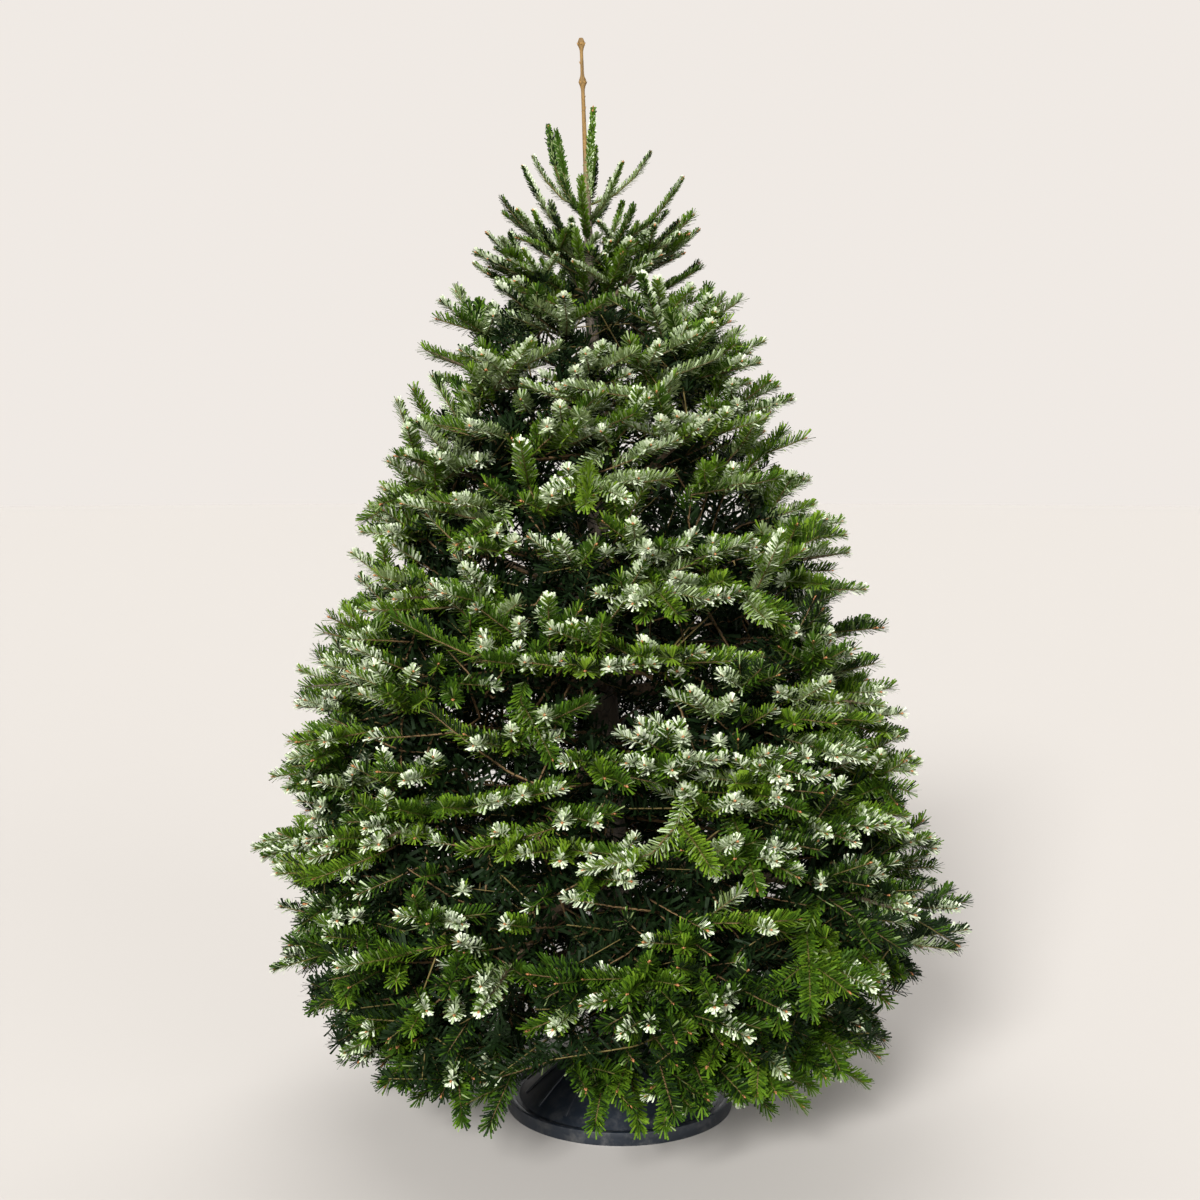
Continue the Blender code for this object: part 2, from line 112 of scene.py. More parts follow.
# how steeply the outer shoots stand, in degrees by height: they hang low down and climb at the top
PITCHES = ((0.20, -34), (0.36, -18), (0.55, -2), (0.95, 12), (1.35, 24), (1.70, 38), (1.95, 58))
PALE_ENDS = (0.014, 0.022, 0.030, 0.048)  # how much of a shoot's end is pale
TOP_FROM = 1.67  # above this the shoots are few enough to be told one by one
# each shoot of the top: the height of its foot on the trunk, and its tip from the trunk's middle there
TOP_SHOOTS = (
    (1.800, (-0.070, 0.020, 1.961)), (1.785, (-0.055, -0.035, 1.940)), (1.800, (-0.102, 0.035, 1.905)),
    (1.725, (-0.118, -0.080, 1.866)), (1.690, (-0.165, -0.030, 1.815)), (1.640, (-0.193, -0.050, 1.746)),
    (1.810, (0.127, 0.040, 1.914)), (1.780, (0.068, -0.090, 1.872)), (1.705, (0.184, -0.050, 1.850)),
    (1.700, (0.158, 0.065, 1.802)), (1.665, (0.170, -0.085, 1.762)), (1.660, (0.212, -0.010, 1.757)),
    (1.600, (-0.023, -0.165, 1.735)), (1.790, (-0.060, 0.100, 1.900)), (1.770, (0.050, 0.120, 1.872)),
    (1.700, (-0.130, 0.120, 1.800)), (1.700, (0.100, 0.150, 1.790)), (1.650, (0.0, 0.190, 1.750)),
    (1.640, (0.160, 0.130, 1.735)), (1.630, (-0.170, 0.100, 1.722)), (1.735, (-0.010, -0.105, 1.842)),
    (1.680, (0.085, -0.150, 1.782)), (1.675, (-0.100, -0.135, 1.776)), (1.620, (-0.120, -0.180, 1.700)),
    (1.620, (0.060, -0.215, 1.690)), (1.610, (0.215, 0.050, 1.700)), (1.610, (-0.225, 0.010, 1.695)),
    (1.815, (0.020, 0.075, 1.930)), (1.600, (-0.060, 0.220, 1.690)), (1.600, (0.080, 0.215, 1.680)),
    (1.655, (-0.030, -0.130, 1.750)), (1.590, (0.060, -0.120, 1.700)), (1.600, (-0.090, -0.110, 1.690)),
    (1.640, (0.040, -0.170, 1.715)), (1.690, (-0.070, -0.070, 1.800)), (1.700, (0.070, 0.060, 1.820)),
)
# the needle-clad leader beside the bare one: its height, and how far to the side it is
CLAD_LEADER = (
    (1.755, -0.004), (1.80, -0.003), (1.84, 0.001), (1.88, 0.004), (1.92, 0.010), (1.955, 0.015), (1.988, 0.018),
)
CLAD_LEADER_RADII = (0.0036, 0.0032, 0.0026, 0.0018)

Needle = namedtuple("Needle", "per_metre length width lean")  # lean from the twig in degrees
OUTER_NEEDLE = Needle(1680, 0.0245, 0.0030, 55)
INNER_NEEDLE = Needle(270, 0.0350, 0.0070, 60)
SHADED_NEEDLE = Needle(460, 0.0280, 0.0046, 58)
TOP_NEEDLE = Needle(2300, 0.0165, 0.0023, 42)
# the needles' materials, in the order of needle_finishes; the deepest and the shaded are near-black painted shade
DEEP_PAINTED_SHADE, DARK, GREEN, BRIGHT, SILVER, SILVER_BRIGHT, FROST, SHADED = range(8)
TOP_NEEDLE_HEIGHTS = (1.25, 1.9)  # between these the needles become shorter and denser
GOLDEN_TURN = 0.381966  # of a whole turn, between two needles of a shoot

BOUGH_SIDES = 8
TRUNK_SIDES = 36
WHORL_SWELL, WHORL_SPREAD = 0.0022, 0.016  # of the trunk where a tier's boughs leave it
SCALE_COUNT, SCALES_FROM, SCALE_GAP, SCALE_TURN = 22, 1.955, 0.0072, 2.4  # dried scales on the bare leader

# The stand's profile, as (radius, height)
SOCKET_AND_COLLAR = (
    (0, 0.018), (0.0540, 0.018), (0.0545, 0.108), (0.0565, 0.1115), (0.0585, 0.1122), (0.0965, 0.1122),
    (0.1010, 0.1112), (0.1032, 0.1088),
)
DOME_TOP, DOME_FOOT, DOME_BELLY = (0.104, 0.1055), (0.203, 0.0235), 0.0022
GROOVE_AND_RIM = (
    (0.2050, 0.0215), (0.2150, 0.0213), (0.2166, 0.0225), (0.2178, 0.0262), (0.2190, 0.0270), (0.2280, 0.0270),
    (0.2296, 0.0262), (0.2300, 0.0245), (0.2300, 0.0030), (0.2294, 0.0008), (0.2280, 0.0), (0, 0),
)
RIB_COUNT, RIB_LENGTH, RIB_WIDTH, RIB_DEPTH = 16, 0.104, 0.0045, 0.0056

EYE_HEIGHT = 1.33  # of the camera; needles under it are turned more to the sky, and those over it less


def clamped(value, low=0.0, high=1.0):
    return min(high, max(low, value))


def trunk_centre(height):
    share = height / TREE_HEIGHT
    sway = 0.005 * math.sin(share * math.tau * 1.6)
    return Vector((TIP_LEAN * share + sway * (1 - share), 0.6 * sway, height))


def trunk_radius(height):
    taper = max(0.0, (LEADER_FOOT_HEIGHT - height) / LEADER_FOOT_HEIGHT)
    radius = TRUNK_TOP_RADIUS + (TRUNK_FOOT_RADIUS - TRUNK_TOP_RADIUS) * taper
    radius += TRUNK_FLARE * math.exp(-height / TRUNK_FLARE_HEIGHT)
    if height > LEADER_FOOT_HEIGHT:
        share = (height - LEADER_FOOT_HEIGHT) / (TREE_HEIGHT - LEADER_FOOT_HEIGHT)
        radius = TRUNK_TOP_RADIUS + (LEADER_TIP_RADIUS - TRUNK_TOP_RADIUS) * share**0.5
    for knot in KNOT_HEIGHTS:
        radius += KNOT_RADIUS * math.exp(-(((height - knot) / KNOT_SPREAD) ** 2))
    return radius


def crown_radius(height, azimuth):
    share = (height - CROWN_WIDEST_HEIGHT) / (CROWN_TOP_HEIGHT - CROWN_WIDEST_HEIGHT)
    one_sided = 1 - CROWN_ONE_SIDED * math.cos(azimuth) * max(0.0, 1 - max(0.0, share))
    if share < 0:
        return CROWN_RADIUS * one_sided * (1 - 0.6 * share * share)
    return CROWN_RADIUS * one_sided * max(0.13, 1 - 0.45 * share - 0.34 * share * share)


def frame_along(direction):
    """(side, up) square to a direction."""
    side = direction.cross(Vector((0, 0, 1)))
    if side.length < 1e-3:
        side = direction.cross(Vector((0, 1, 0)))
    side.normalize()
    return side, side.cross(direction).normalized()


def out_at(turn):
    """The level direction at an angle round the trunk."""
    return Vector((math.cos(turn), math.sin(turn), 0))


def pointing(turn, pitch):
    """The direction at an angle round the trunk and an angle over the level."""
    heading = out_at(turn) * math.cos(pitch)
    heading.z = math.sin(pitch)
    return heading


def beside_trunk(height, turn, distance):
    return trunk_centre(height) + out_at(turn) * distance


def reach_of(tier, azimuth):
    return crown_radius(tier.height + tier.rise, azimuth)


def sheet_height(tier, azimuth, distance):
    """How high the sheet is that a tier's boughs lie on."""
    share = distance / reach_of(tier, azimuth)
    arch = tier.arch * 4 * share * (1 - share) if share < 1 else 0.0
    wave = WAVE * min(1.0, share) * math.sin(3 * azimuth + tier.turn)
    return tier.height + tier.rise * share + arch + wave


def on_sheet(tier, azimuth, distance):
    return beside_trunk(sheet_height(tier, azimuth, distance), azimuth, distance)


def bough_foot_radius(tier):
    return 0.0065 + 0.012 * crown_radius(tier.height + tier.rise, math.pi / 2)


def round_trunk(point):
    """(distance from the trunk's middle, azimuth)"""
    offset = point - trunk_centre(point.z)
    return math.hypot(offset.x, offset.y), math.atan2(offset.y, offset.x)


def skirt_share(height, azimuth):
    """How far out the foliage reaches near its foot, of the crown's radius there."""
    low = 1 - clamped((height - SKIRT_FOOT) / SKIRT_SPAN)
    return 1 - low * (SKIRT_DRAW + SKIRT_DRAW_ASIDE * max(0.0, math.cos(azimuth)))


def over_stand(point):
    """Whether a point is in the gap that shows the stand's dome."""
    return WINDOW_X[0] < point.x < WINDOW_X[1] and point.y < WINDOW_Y and point.z < WINDOW_TOP


def depth_of(point):
    """How far inside the crown's outline a point is, told as less near the floor, where light comes in below."""
    distance, azimuth = round_trunk(point)
    depth = crown_radius(point.z, azimuth) * skirt_share(point.z, azimuth) - distance
    return depth * clamped(point.z / 0.3, 0.6)


def outer_depth(height):
    """How far in the foliage is seen shoot by shoot."""
    return OUTER_DEPTH + TOP_DEPTH * clamped((height - TOP_DEPTH_FROM) / TOP_DEPTH_SPAN)


class Cell:
    """The space that one mass keeps to: a wedge between the sheets under and over its tier."""

    def __init__(self, index, azimuth):
        self.tier = TIERS[index]
        self.azimuth = azimuth
        self.half = math.pi / self.tier.count
        self.under = TIERS[index - 1] if index else None
        self.over = TIERS[index + 1] if index + 1 < len(TIERS) else None

    def turn_at(self, share):
        """The angle round the trunk at a share of the way across the wedge."""
        return self.azimuth + self.half * 2 * (share - 0.5)

    def holds(self, point):
        distance, azimuth = round_trunk(point)
        lowest = STAND_CLEAR if distance < STAND_REACH else FLOOR_CLEAR
        if distance < trunk_radius(point.z) or point.z < lowest:
            return False
        outline = crown_radius(point.z, azimuth) * skirt_share(point.z, azimuth)
        if distance > outline + OUTLINE_SLACK or abs(point.y) > WIDEST_SIDE:
            return False
        middle = sheet_height(self.tier, azimuth, distance)
        low = sheet_height(self.under, azimuth, distance) if self.under else middle - UNDER_LOWEST
        high = sheet_height(self.over, azimuth, distance) if self.over else middle + OVER_HIGHEST
        if not (low + middle) / 2 - CELL_SLACK < point.z < (middle + high) / 2 + CELL_SLACK:
            return False
        turn = abs((azimuth - self.azimuth + math.pi) % math.tau - math.pi)
        return turn < self.half + CELL_TURN_SLACK and distance * math.sin(self.half - turn) > -CELL_SLACK


Limb = namedtuple("Limb", "points radii order")
# green is a share from dark to bright; under is a material; frost is the share of the shoot that is pale
Shoot = namedtuple("Shoot", "points tier green under frost needle")
LIMBS = []
SHOOTS = []
BUDS = []  # (place, direction, size)


def run_of(points):
    run = [0.0]
    for a, b in zip(points, points[1:]):
        run.append(run[-1] + (b - a).length)
    return run


def at_run(points, run, distance):
    """(point, direction) at a distance along a path."""
    last = len(points) - 2
    i = next((i for i in range(last) if distance <= run[i + 1]), last)
    part = (distance - run[i]) / max(run[i + 1] - run[i], 1e-6)
    return points[i].lerp(points[i + 1], part), (points[i + 1] - points[i]).normalized()


def part_of(points, run, start, end):
    """The part of a path between two distances along it."""
    first, _ = at_run(points, run, start)
    last, _ = at_run(points, run, end)
    return [first] + [p for p, r in zip(points, run) if start + 0.003 < r < end - 0.003] + [last]


def grown_path(cell, start, heading, length, toward, rise):
    """A limb's path: it leaves along its heading, bends towards its parent's, and ends inside its space."""
    steps = max(3, round(length / 0.032))
    points = [start]
    way = heading.normalized()
    for _ in range(steps):
        way = (way + toward * 0.05 + Vector((0, 0, rise))).normalized()
        point = points[-1] + way * (length / steps)
        if not cell.holds(point) or over_stand(point):
            break
        points.append(point)
    return points


def bent_path(start, start_way, end, end_way, steps):
    """A smooth run from one limb out to a shoot's foot."""
    gap = (end - start).length
    first, second = start + start_way * gap * 0.38, end - end_way * gap * 0.34
    points = []
    for i in range(steps + 1):
        t = i / steps
        u = 1 - t
        points.append(start * u**3 + first * (3 * u * u * t) + second * (3 * u * t * t) + end * t**3)
    return points


def out_to(points, run, start, depth):
    """How far along a path it comes out to a depth inside the crown's outline."""
    while start < run[-1] - 0.03 and depth_of(at_run(points, run, start)[0]) > depth:
        start += 0.02
    return start


def tip_chances(height):
    """(chance of a pale tip, chance of a silver shoot)"""
    if height < 0.50:
        return 0.28, 0.06
    return (0.50, 0.15) if height > 1.35 else (0.58, 0.15)


def under_colour(height, rule):
    """The material that a shoot's needles show underneath: dark painted shade low down, often silver higher up, and
    sometimes painted shade again near the top.
    """
    if height < 1.0 + 0.3 * rule.random():
        return rule.choice((SHADED, DARK, DARK))
    return rule.choice((DARK, GREEN, GREEN, SILVER) if height < 1.6 else (SHADED, DARK, GREEN, SILVER))


def dress(points, run, rule, tier, green, needled, kind):
    """Needles on the outer years of a limb, kept where light reaches, and its bud."""
    length = run[-1]
    start = out_to(points, run, max(0.0, length - needled), INNER_DEPTH)
    tip, way = at_run(points, run, length)
    seen = outer_depth(tip.z)
    outer = length if depth_of(tip) > seen else out_to(points, run, start, seen)
    # the limb's inner needles are painted shade: the deepest green above and the shaded one beneath
    if outer - start > 0.02:
        SHOOTS.append(Shoot(part_of(points, run, start, outer), tier, green, SHADED, 0.0, INNER_NEEDLE))
    if length - outer < 0.02:
        return
    pale, silver = tip_chances(tip.z)
    frost, under = 0.0, under_colour(tip.z, rule)
    if way.z < -0.30:  # what hangs is hardly ever pale
        pale, silver = 0.0, 0.03
    if rule.random() < pale:
        frost = min(0.6, rule.choice(PALE_ENDS) * rule.uniform(0.8, 1.2) / (length - outer))
    if rule.random() < silver:
        frost, under = max(frost, 0.3), SILVER
    SHOOTS.append(Shoot(part_of(points, run, outer, length), tier, green, under, frost, kind))
    if depth_of(tip) < BUD_DEPTH and (frost or rule.random() < 0.45):
        BUDS.append((tip, way, rule.uniform(0.75, 1.1)))


def grow(cell, points, order, rule, green, foot, needled=NEEDLED_LENGTH, kind=OUTER_NEEDLE):
    """A limb with its side limbs, back from its tip by a year's growth at a time."""
    run = run_of(points)
    length = run[-1]
    radii = [TWIG_TIP_RADIUS + (foot - TWIG_TIP_RADIUS) * (1 - r / length) ** 0.8 for r in run]
    LIMBS.append(Limb(points, radii, order))
    dress(points, run, rule, cell.tier.name, green, needled, kind)
    if order > FINEST_ORDER or (order == FINEST_ORDER and length < 0.15):
        return
    back = NODE_GAP[order] * rule.uniform(0.75, 1.1)
    most = length - (0.12 * length if order == 1 else 0.014)
    while back < most:
        point, way = at_run(points, run, length - back)
        if order > 1 and depth_of(point) > outer_depth(point.z):
            break
        grow_node(cell, point, way, back, order, rule, green, kind)
        back += NODE_GAP[order] * rule.uniform(0.85, 1.15)


def grow_node(cell, point, way, back, order, rule, green, kind):
    """The side limbs of one node: a level pair, and now and then a shorter one that stands up."""
    side, up = frame_along(way)
    pairs = [(0.08, 0.92, 1.0, 0.10)]  # (lift, spread in radians, size, chance that one side is bare)
    if rule.random() < 0.22:
        pairs.append((0.85, 0.5, 0.6, 0.5))
    for lift, spread, size, bare in pairs:
        for hand in (-1, 1):
            if rule.random() < bare:
                continue
            turn = spread * rule.uniform(0.80, 1.15)
            level = way * math.cos(turn) + side * (hand * math.sin(turn))
            heading = level + up * lift * rule.uniform(0.6, 1.3)
            reach = (CHILD_SHARE * back + CHILD_LEAST) * size * rule.uniform(0.8, 1.2)
            path = grown_path(cell, point, heading, min(reach, CHILD_LONGEST), way, 0.006)
            grown = run_of(path)[-1]
            if len(path) > 2 and grown > CHILD_SHORTEST:
                hue = green if order > 1 else rule.random()
                grow(cell, path, order + 1, rule, hue, min(0.0028, 0.0012 + 0.008 * grown), kind=kind)


def pitch_at(height):
    """How steeply the outer shoots stand at a height."""
    if height <= PITCHES[0][0]:
        return math.radians(PITCHES[0][1])
    for (low, a), (high, b) in zip(PITCHES, PITCHES[1:]):
        if height <= high:
            return math.radians(a + (b - a) * (height - low) / (high - low))
    return math.radians(PITCHES[-1][1])


def spray_to(cell, carriers, tip, heading, length, rule):
    """A spray that ends at tip, on a twig from the limb that reaches it most easily."""
    if over_stand(tip):
        return
    foot = tip - heading * length
    best = None
    for place, way in carriers:
        gap = foot - place
        far = gap.length
        if far < 0.015:
            continue
        cost = far * (1.5 - 0.5 * gap.dot(way) / far) + 0.04 * max(0.0, -gap.dot(heading)) / far
        if best is None or cost < best[0]:
            best = (cost, place, way, gap / far, far)
    if best is None:
        return
    _, place, way, straight, far = best
    start_way = (way * 0.5 + straight * 0.7).normalized()
    steps = max(2, round(far / 0.035))
    points = bent_path(place, start_way, foot, heading, steps)
    steps = max(3, round(length / 0.03))
    now = heading
    for _ in range(steps):
        now = (now + Vector((0, 0, 0.022))).normalized()
        points.append(points[-1] + now * (length / steps))
    grow(cell, points, 2, rule, rule.random(), min(0.0044, 0.0016 + 0.005 * (far + length)), length + 0.20)


def shaded_shoot(cell, carriers, tip, heading, length, rule, kind):
    foot = tip - heading * length * 0.5
    place, way = min(carriers, key=lambda carrier: (carrier[0] - foot).length)
    points = bent_path(place, way, foot, heading, 3) + [tip]
    run = run_of(points)
    radii = [0.0011 + 0.0012 * (1 - r / run[-1]) for r in run]
    LIMBS.append(Limb(points, radii, FINEST_ORDER + 1))
    part = part_of(points, run, max(0.0, run[-1] - length), run[-1])
    # its needles are painted shade: the deepest green above and the shaded one beneath
    SHOOTS.append(Shoot(part, cell.tier.name, rule.random(), SHADED, 0.0, kind))


def grow_top():
    """The shoots of the top one by one, and the needle-clad leader beside the bare one."""
    rule = random.Random("top")
    for root, (x, y, z) in TOP_SHOOTS:
        turn = math.atan2(y, x)
        cell = Cell(8 if root > 1.73 else 7, turn)
        out = out_at(turn)
        start = trunk_centre(root) + out * trunk_radius(root) * 0.6
        tip = trunk_centre(z) + Vector((x, y, 0))
        straight = (tip - start).normalized()
        start_way = (out * 0.85 + straight * 0.5).normalized()
        bend = Vector((rule.uniform(-0.15, 0.15), rule.uniform(-0.15, 0.15), 0.55))
        end_way = (straight + bend).normalized()
        points = bent_path(start, start_way, tip, end_way, max(5, round((tip - start).length / 0.025)))
        order = FINEST_ORDER if root < 1.70 else FINEST_ORDER + 1
        grow(cell, points, order, rule, rule.random() * 0.8, 0.0030, 0.40, TOP_NEEDLE)
    side = Vector((1, -0.18, 0)).normalized()
    path = [trunk_centre(height) + side * aside for height, aside in CLAD_LEADER]
    LIMBS.append(Limb(path[-len(CLAD_LEADER_RADII):], CLAD_LEADER_RADII, FINEST_ORDER))
    twin = [p + Vector((0.0005, 0.0005, 0.002)) for p in path]
    for clad in (path, twin):
        SHOOTS.append(Shoot(clad, TIERS[-1].name, 0.45, SILVER, 0.40, TOP_NEEDLE))
    BUDS.append((path[-1], Vector((0.1, 0, 1)).normalized(), 1.3))


def grow_bough(cell, index, rule):
    """The mass's main bough, along its tier's sheet."""
    tier = cell.tier
    reach = reach_of(tier, cell.azimuth)
    sway = rule.uniform(-0.05, 0.05)
    start = trunk_radius(tier.height) * 0.6
    end = reach * rule.uniform(0.94, 1.0) * skirt_share(tier.height + tier.rise, cell.azimuth)
    count = max(5, round((end - start) / 0.03))
    points = []
    for i in range(count + 1):
        distance = start + (end - start) * i / count
        bend = sway * max(0.0, distance - tier.bare * reach)
        points.append(on_sheet(tier, cell.azimuth + bend, distance))
    foot = bough_foot_radius(tier) * (1.1 - 0.1 * max(0, index - 2))
    grow(cell, points, 1, rule, rule.random(), foot)


def grow_lesser_boughs(cell, index, rule):
    """Two thinner boughs from the trunk between this tier and the next."""
    gap = cell.over.height - cell.tier.height
    rise = 0.10 + 0.30 * index / 8
    for hand in (-1, 1):
        height = cell.tier.height + gap * rule.uniform(0.3, 0.55)
        turn = cell.azimuth + hand * cell.half * rule.uniform(0.35, 0.6)
        out = out_at(turn)
        length = crown_radius(height + 0.2 * rise, turn) * rule.uniform(0.85, 0.97)
        foot = trunk_centre(height) + out * trunk_radius(height) * 0.9
        path = grown_path(cell, foot, out + Vector((0, 0, rise)), length, out, 0.0)
        if run_of(path)[-1] > 0.08:
            grow(cell, path, 2, rule, rule.random(), 0.0045)


def carriers_of(limbs):
    """Where sprays can start from the boughs inside the crown: (place, direction)."""
    return [
        (a, (b - a).normalized())
        for limb in limbs
        if limb.order < FINEST_ORDER
        for a, b in zip(limb.points, limb.points[1:])
        if depth_of(a) > CARRIER_DEPTH
    ]


def levels_of(cell):
    """(low, middle, high) of a mass's share of the crown's outline."""
    tier, azimuth = cell.tier, cell.azimuth
    reach = reach_of(tier, azimuth)
    low = sheet_height(cell.under, azimuth, reach) if cell.under else tier.height + tier.rise - 0.17
    middle = sheet_height(tier, azimuth, reach)
    high = sheet_height(cell.over, azimuth, reach)
    return (low + middle) / 2, middle, min((middle + high) / 2, TOP_FROM)


def grow_outline(cell, index, carriers, rule):
    """Sprays in rows over the mass's share of the crown's outline."""
    low, middle, high = levels_of(cell)
    spacing = SPRAY_GAPS[index]
    span = high - low + 2 * SPRAY_MARGIN
    rows = max(2, round(span / spacing))
    for row in range(rows):
        level = low - SPRAY_MARGIN + span * (row + 0.5) / rows
        columns = max(2, round(2 * cell.half * crown_radius(level, cell.azimuth) / spacing))
        for column in range(columns):
            turn = cell.turn_at((column + 0.5 + rule.uniform(-0.35, 0.35)) / columns)
            height = max(FLOOR_CLEAR + 0.03, level + rule.uniform(-0.4, 0.4) * spacing)
            between = index >= SKY_GAP_TIER and abs(height - middle) > 0.52 * (high - low) / 2
            if between and rule.random() < 0.2 * (index - 3):
                continue
            pitch = pitch_at(height) + math.radians(rule.uniform(-24, 22))
            if height > 0.5 and rule.random() < 0.22:
                pitch += math.radians(rule.uniform(12, 34))
            if rule.random() < 0.38:  # it points out of the crown, and otherwise along it
                yaw = rule.uniform(-0.35, 0.35)
                share = rule.uniform(0.84, 1.015)
            else:
                yaw = rule.choice((-1, 1)) * rule.uniform(0.5, 1.1)
                share = rule.uniform(0.80, 0.95)
            radius = crown_radius(height, turn) * share * skirt_share(height, turn)
            radius = min(radius, WIDEST_SIDE / max(0.5, abs(math.sin(turn))))
            length = min(rule.uniform(0.12, 0.21), radius * 0.62)
            tip = beside_trunk(height, turn, radius)
            spray_to(cell, carriers, tip, pointing(turn + yaw, pitch), length, rule)


def grow_hanging(cell, index, carriers, rule):
    """The sprays of the lowest tier that hang over the stand."""
    for ring in range(HANGING_RINGS):
        radius = reach_of(cell.tier, cell.azimuth) * (0.46 + 0.10 * ring)
        columns = round(2 * cell.half * radius / (SPRAY_GAPS[index] * 1.05))
        for column in range(columns):
            turn = cell.turn_at((column + rule.uniform(0.15, 0.85)) / columns)
            tip = beside_trunk(rule.uniform(0.122, 0.205), turn, radius)
            pitch = math.radians(rule.uniform(-58, -24))
            heading = pointing(turn + rule.uniform(-0.8, 0.8), pitch)
            spray_to(cell, carriers, tip, heading, rule.uniform(0.11, 0.17), rule)


def grow_shaded(cell, index, carriers, rule):
    """Shoots with long needles inside the crown, painted dark as shade, which keep the light from coming through.
    """
    low, _, high = levels_of(cell)
    for _ in range(max(1, round((high - low) / SHADED_GAP))):
        for ring in range(SHADED_RINGS[index]):
            level = low + (high - low) * rule.uniform(0, 1)
            radius = crown_radius(level, cell.azimuth) - 0.115 - 0.105 * ring
            if radius < 0.10:
                continue
            columns = max(1, round(2 * cell.half * radius / SHADED_GAP))
            for column in range(columns):
                turn = cell.turn_at((column + rule.uniform(0.1, 0.9)) / columns)
                lowest = sheet_height(TIERS[0], turn, radius) - 0.03
                height = max(lowest, level + rule.uniform(-0.5, 0.5) * SHADED_GAP)
                yaw = rule.choice((-1, 1)) * rule.uniform(0.3, 1.3)
                heading = (out_at(turn + yaw) + Vector((0, 0, rule.uniform(-0.6, 0.7)))).normalized()
                tip = beside_trunk(height, turn, radius)
                kind = INNER_NEEDLE if ring else SHADED_NEEDLE
                shaded_shoot(cell, carriers, tip, heading, rule.uniform(0.13, 0.20), rule, kind)


def grow_mass(index, number):
    """One mass: its boughs, the sprays over its share of the crown's outline, and what is inside."""
    tier = TIERS[index]
    cell = Cell(index, math.radians(tier.turn) + math.tau * number / tier.count)
    rule = random.Random(f"{tier.name}_{number + 1}_twigs")
    before = len(LIMBS)
    grow_bough(cell, index, rule)
    if index < LESSER_BOUGH_TIERS:
        grow_lesser_boughs(cell, index, rule)
    carriers = carriers_of(LIMBS[before:])
    grow_outline(cell, index, carriers, rule)
    if index == 0:
        grow_hanging(cell, index, carriers, rule)
    grow_shaded(cell, index, carriers, rule)


def grow_tree():
    for index, tier in enumerate(TIERS[:-1]):
        for number in range(tier.count):
            grow_mass(index, number)
    grow_top()


# Meshes from arrays, for what there is very much of


def mesh_piece(name, vertices, triangles, slots, materials, smooth):
    mesh = bpy.data.meshes.new(name)
    mesh.vertices.add(len(vertices))
    mesh.vertices.foreach_set("co", vertices.astype(np.float32).ravel())
    mesh.loops.add(len(triangles) * 3)
    mesh.loops.foreach_set("vertex_index", triangles.astype(np.int32).ravel())
    mesh.polygons.add(len(triangles))
    mesh.polygons.foreach_set("loop_start", np.arange(0, len(triangles) * 3, 3, dtype=np.int32))
    mesh.polygons.foreach_set("material_index", slots.astype(np.int32))
    mesh.polygons.foreach_set("use_smooth", np.full(len(triangles), smooth))
    for material in materials:
        mesh.materials.append(material)
    mesh.update(calc_edges=True)
    piece = bpy.data.objects.new(name, mesh)
    bpy.context.scene.collection.objects.link(piece)
    return piece


def unit(rows):
    return rows / np.maximum(np.linalg.norm(rows, axis=-1, keepdims=True), 1e-9)


def frames_along(ways):
    """(side, lift) for each row of directions."""
    up = np.tile(np.array([0.0, 0.0, 1.0]), (len(ways), 1))
    steep = np.abs(ways[:, 2]) > 0.97
    up[steep] = (0.0, 1.0, 0.0)
    side = unit(np.cross(ways, up))
    return side, unit(np.cross(side, ways))


def tube(points, radii, sides):
    """(vertices, triangles) of a closed limb through its points."""
    points = np.array([tuple(p) for p in points])
    radii = np.array(radii)
    ways = unit(np.gradient(points, axis=0))
    side, lift = frames_along(ways)
    angles = np.arange(sides) * math.tau / sides
    around = side[:, None] * np.cos(angles)[:, None] + lift[:, None] * np.sin(angles)[:, None]
    rings = points[:, None] + around * radii[:, None, None]
    vertices = np.concatenate([rings.reshape(-1, 3), points[:1], points[-1:] + ways[-1:] * radii[-1]])
    count = len(points)
    i = np.arange(count - 1)[:, None] * sides
    j = np.arange(sides)[None, :]
    k = (j + 1) % sides
    a, b, c, d = i + j, i + k, i + sides + k, i + sides + j
    skin = np.concatenate([np.stack([a, b, c], -1).reshape(-1, 3), np.stack([a, c, d], -1).reshape(-1, 3)])
    j, k = j[0], k[0]
    foot = np.stack([np.full(sides, count * sides), k, j], -1)
    last = (count - 1) * sides
    tip = np.stack([np.full(sides, count * sides + 1), last + j, last + k], -1)
    return vertices, np.concatenate([skin, foot, tip])


def thinned(limb):
    """Every other point of a fine twig and both its ends."""
    keep = sorted({0, len(limb.points) - 1, *range(0, len(limb.points), 2)})
    return [limb.points[i] for i in keep], [limb.radii[i] for i in keep]


def bough_skin(limb):
    """(vertices, triangles) of a bough with its bark's relief: nodes, wrinkles and old needle scars."""
    run = run_of(limb.points)
    count = max(6, round(run[-1] / 0.015))
    where = np.linspace(0, run[-1], count)
    rows = np.array([tuple(p) for p in limb.points])
    points = np.stack([np.interp(where, run, rows[:, axis]) for axis in range(3)], -1)
    radii = np.interp(where, run, limb.radii)
    for node in np.arange(run[-1] - 0.13, 0.03, -0.135):
        radii = radii * (1 + 0.22 * np.exp(-(((where - node) / 0.008) ** 2)))
    vertices, triangles = tube(points, radii, BOUGH_SIDES)
    for row in range(count * BOUGH_SIDES):
        ring = row // BOUGH_SIDES
        spot = Vector(vertices[row])
        out = (spot - Vector(points[ring])) / max(radii[ring], 1e-6)
        rough = noise.noise(spot * 130) * 0.16 + noise.noise(spot * 42) * 0.14
        vertices[row] = spot + out * radii[ring] * rough
    return vertices, triangles


def joined(parts):
    """(vertices, triangles) of many parts in one."""
    vertices, triangles, base = [], [], 0
    for part_vertices, part_triangles in parts:
        vertices.append(part_vertices)
        triangles.append(part_triangles + base)
        base += len(part_vertices)
    return np.concatenate(vertices), np.concatenate(triangles)


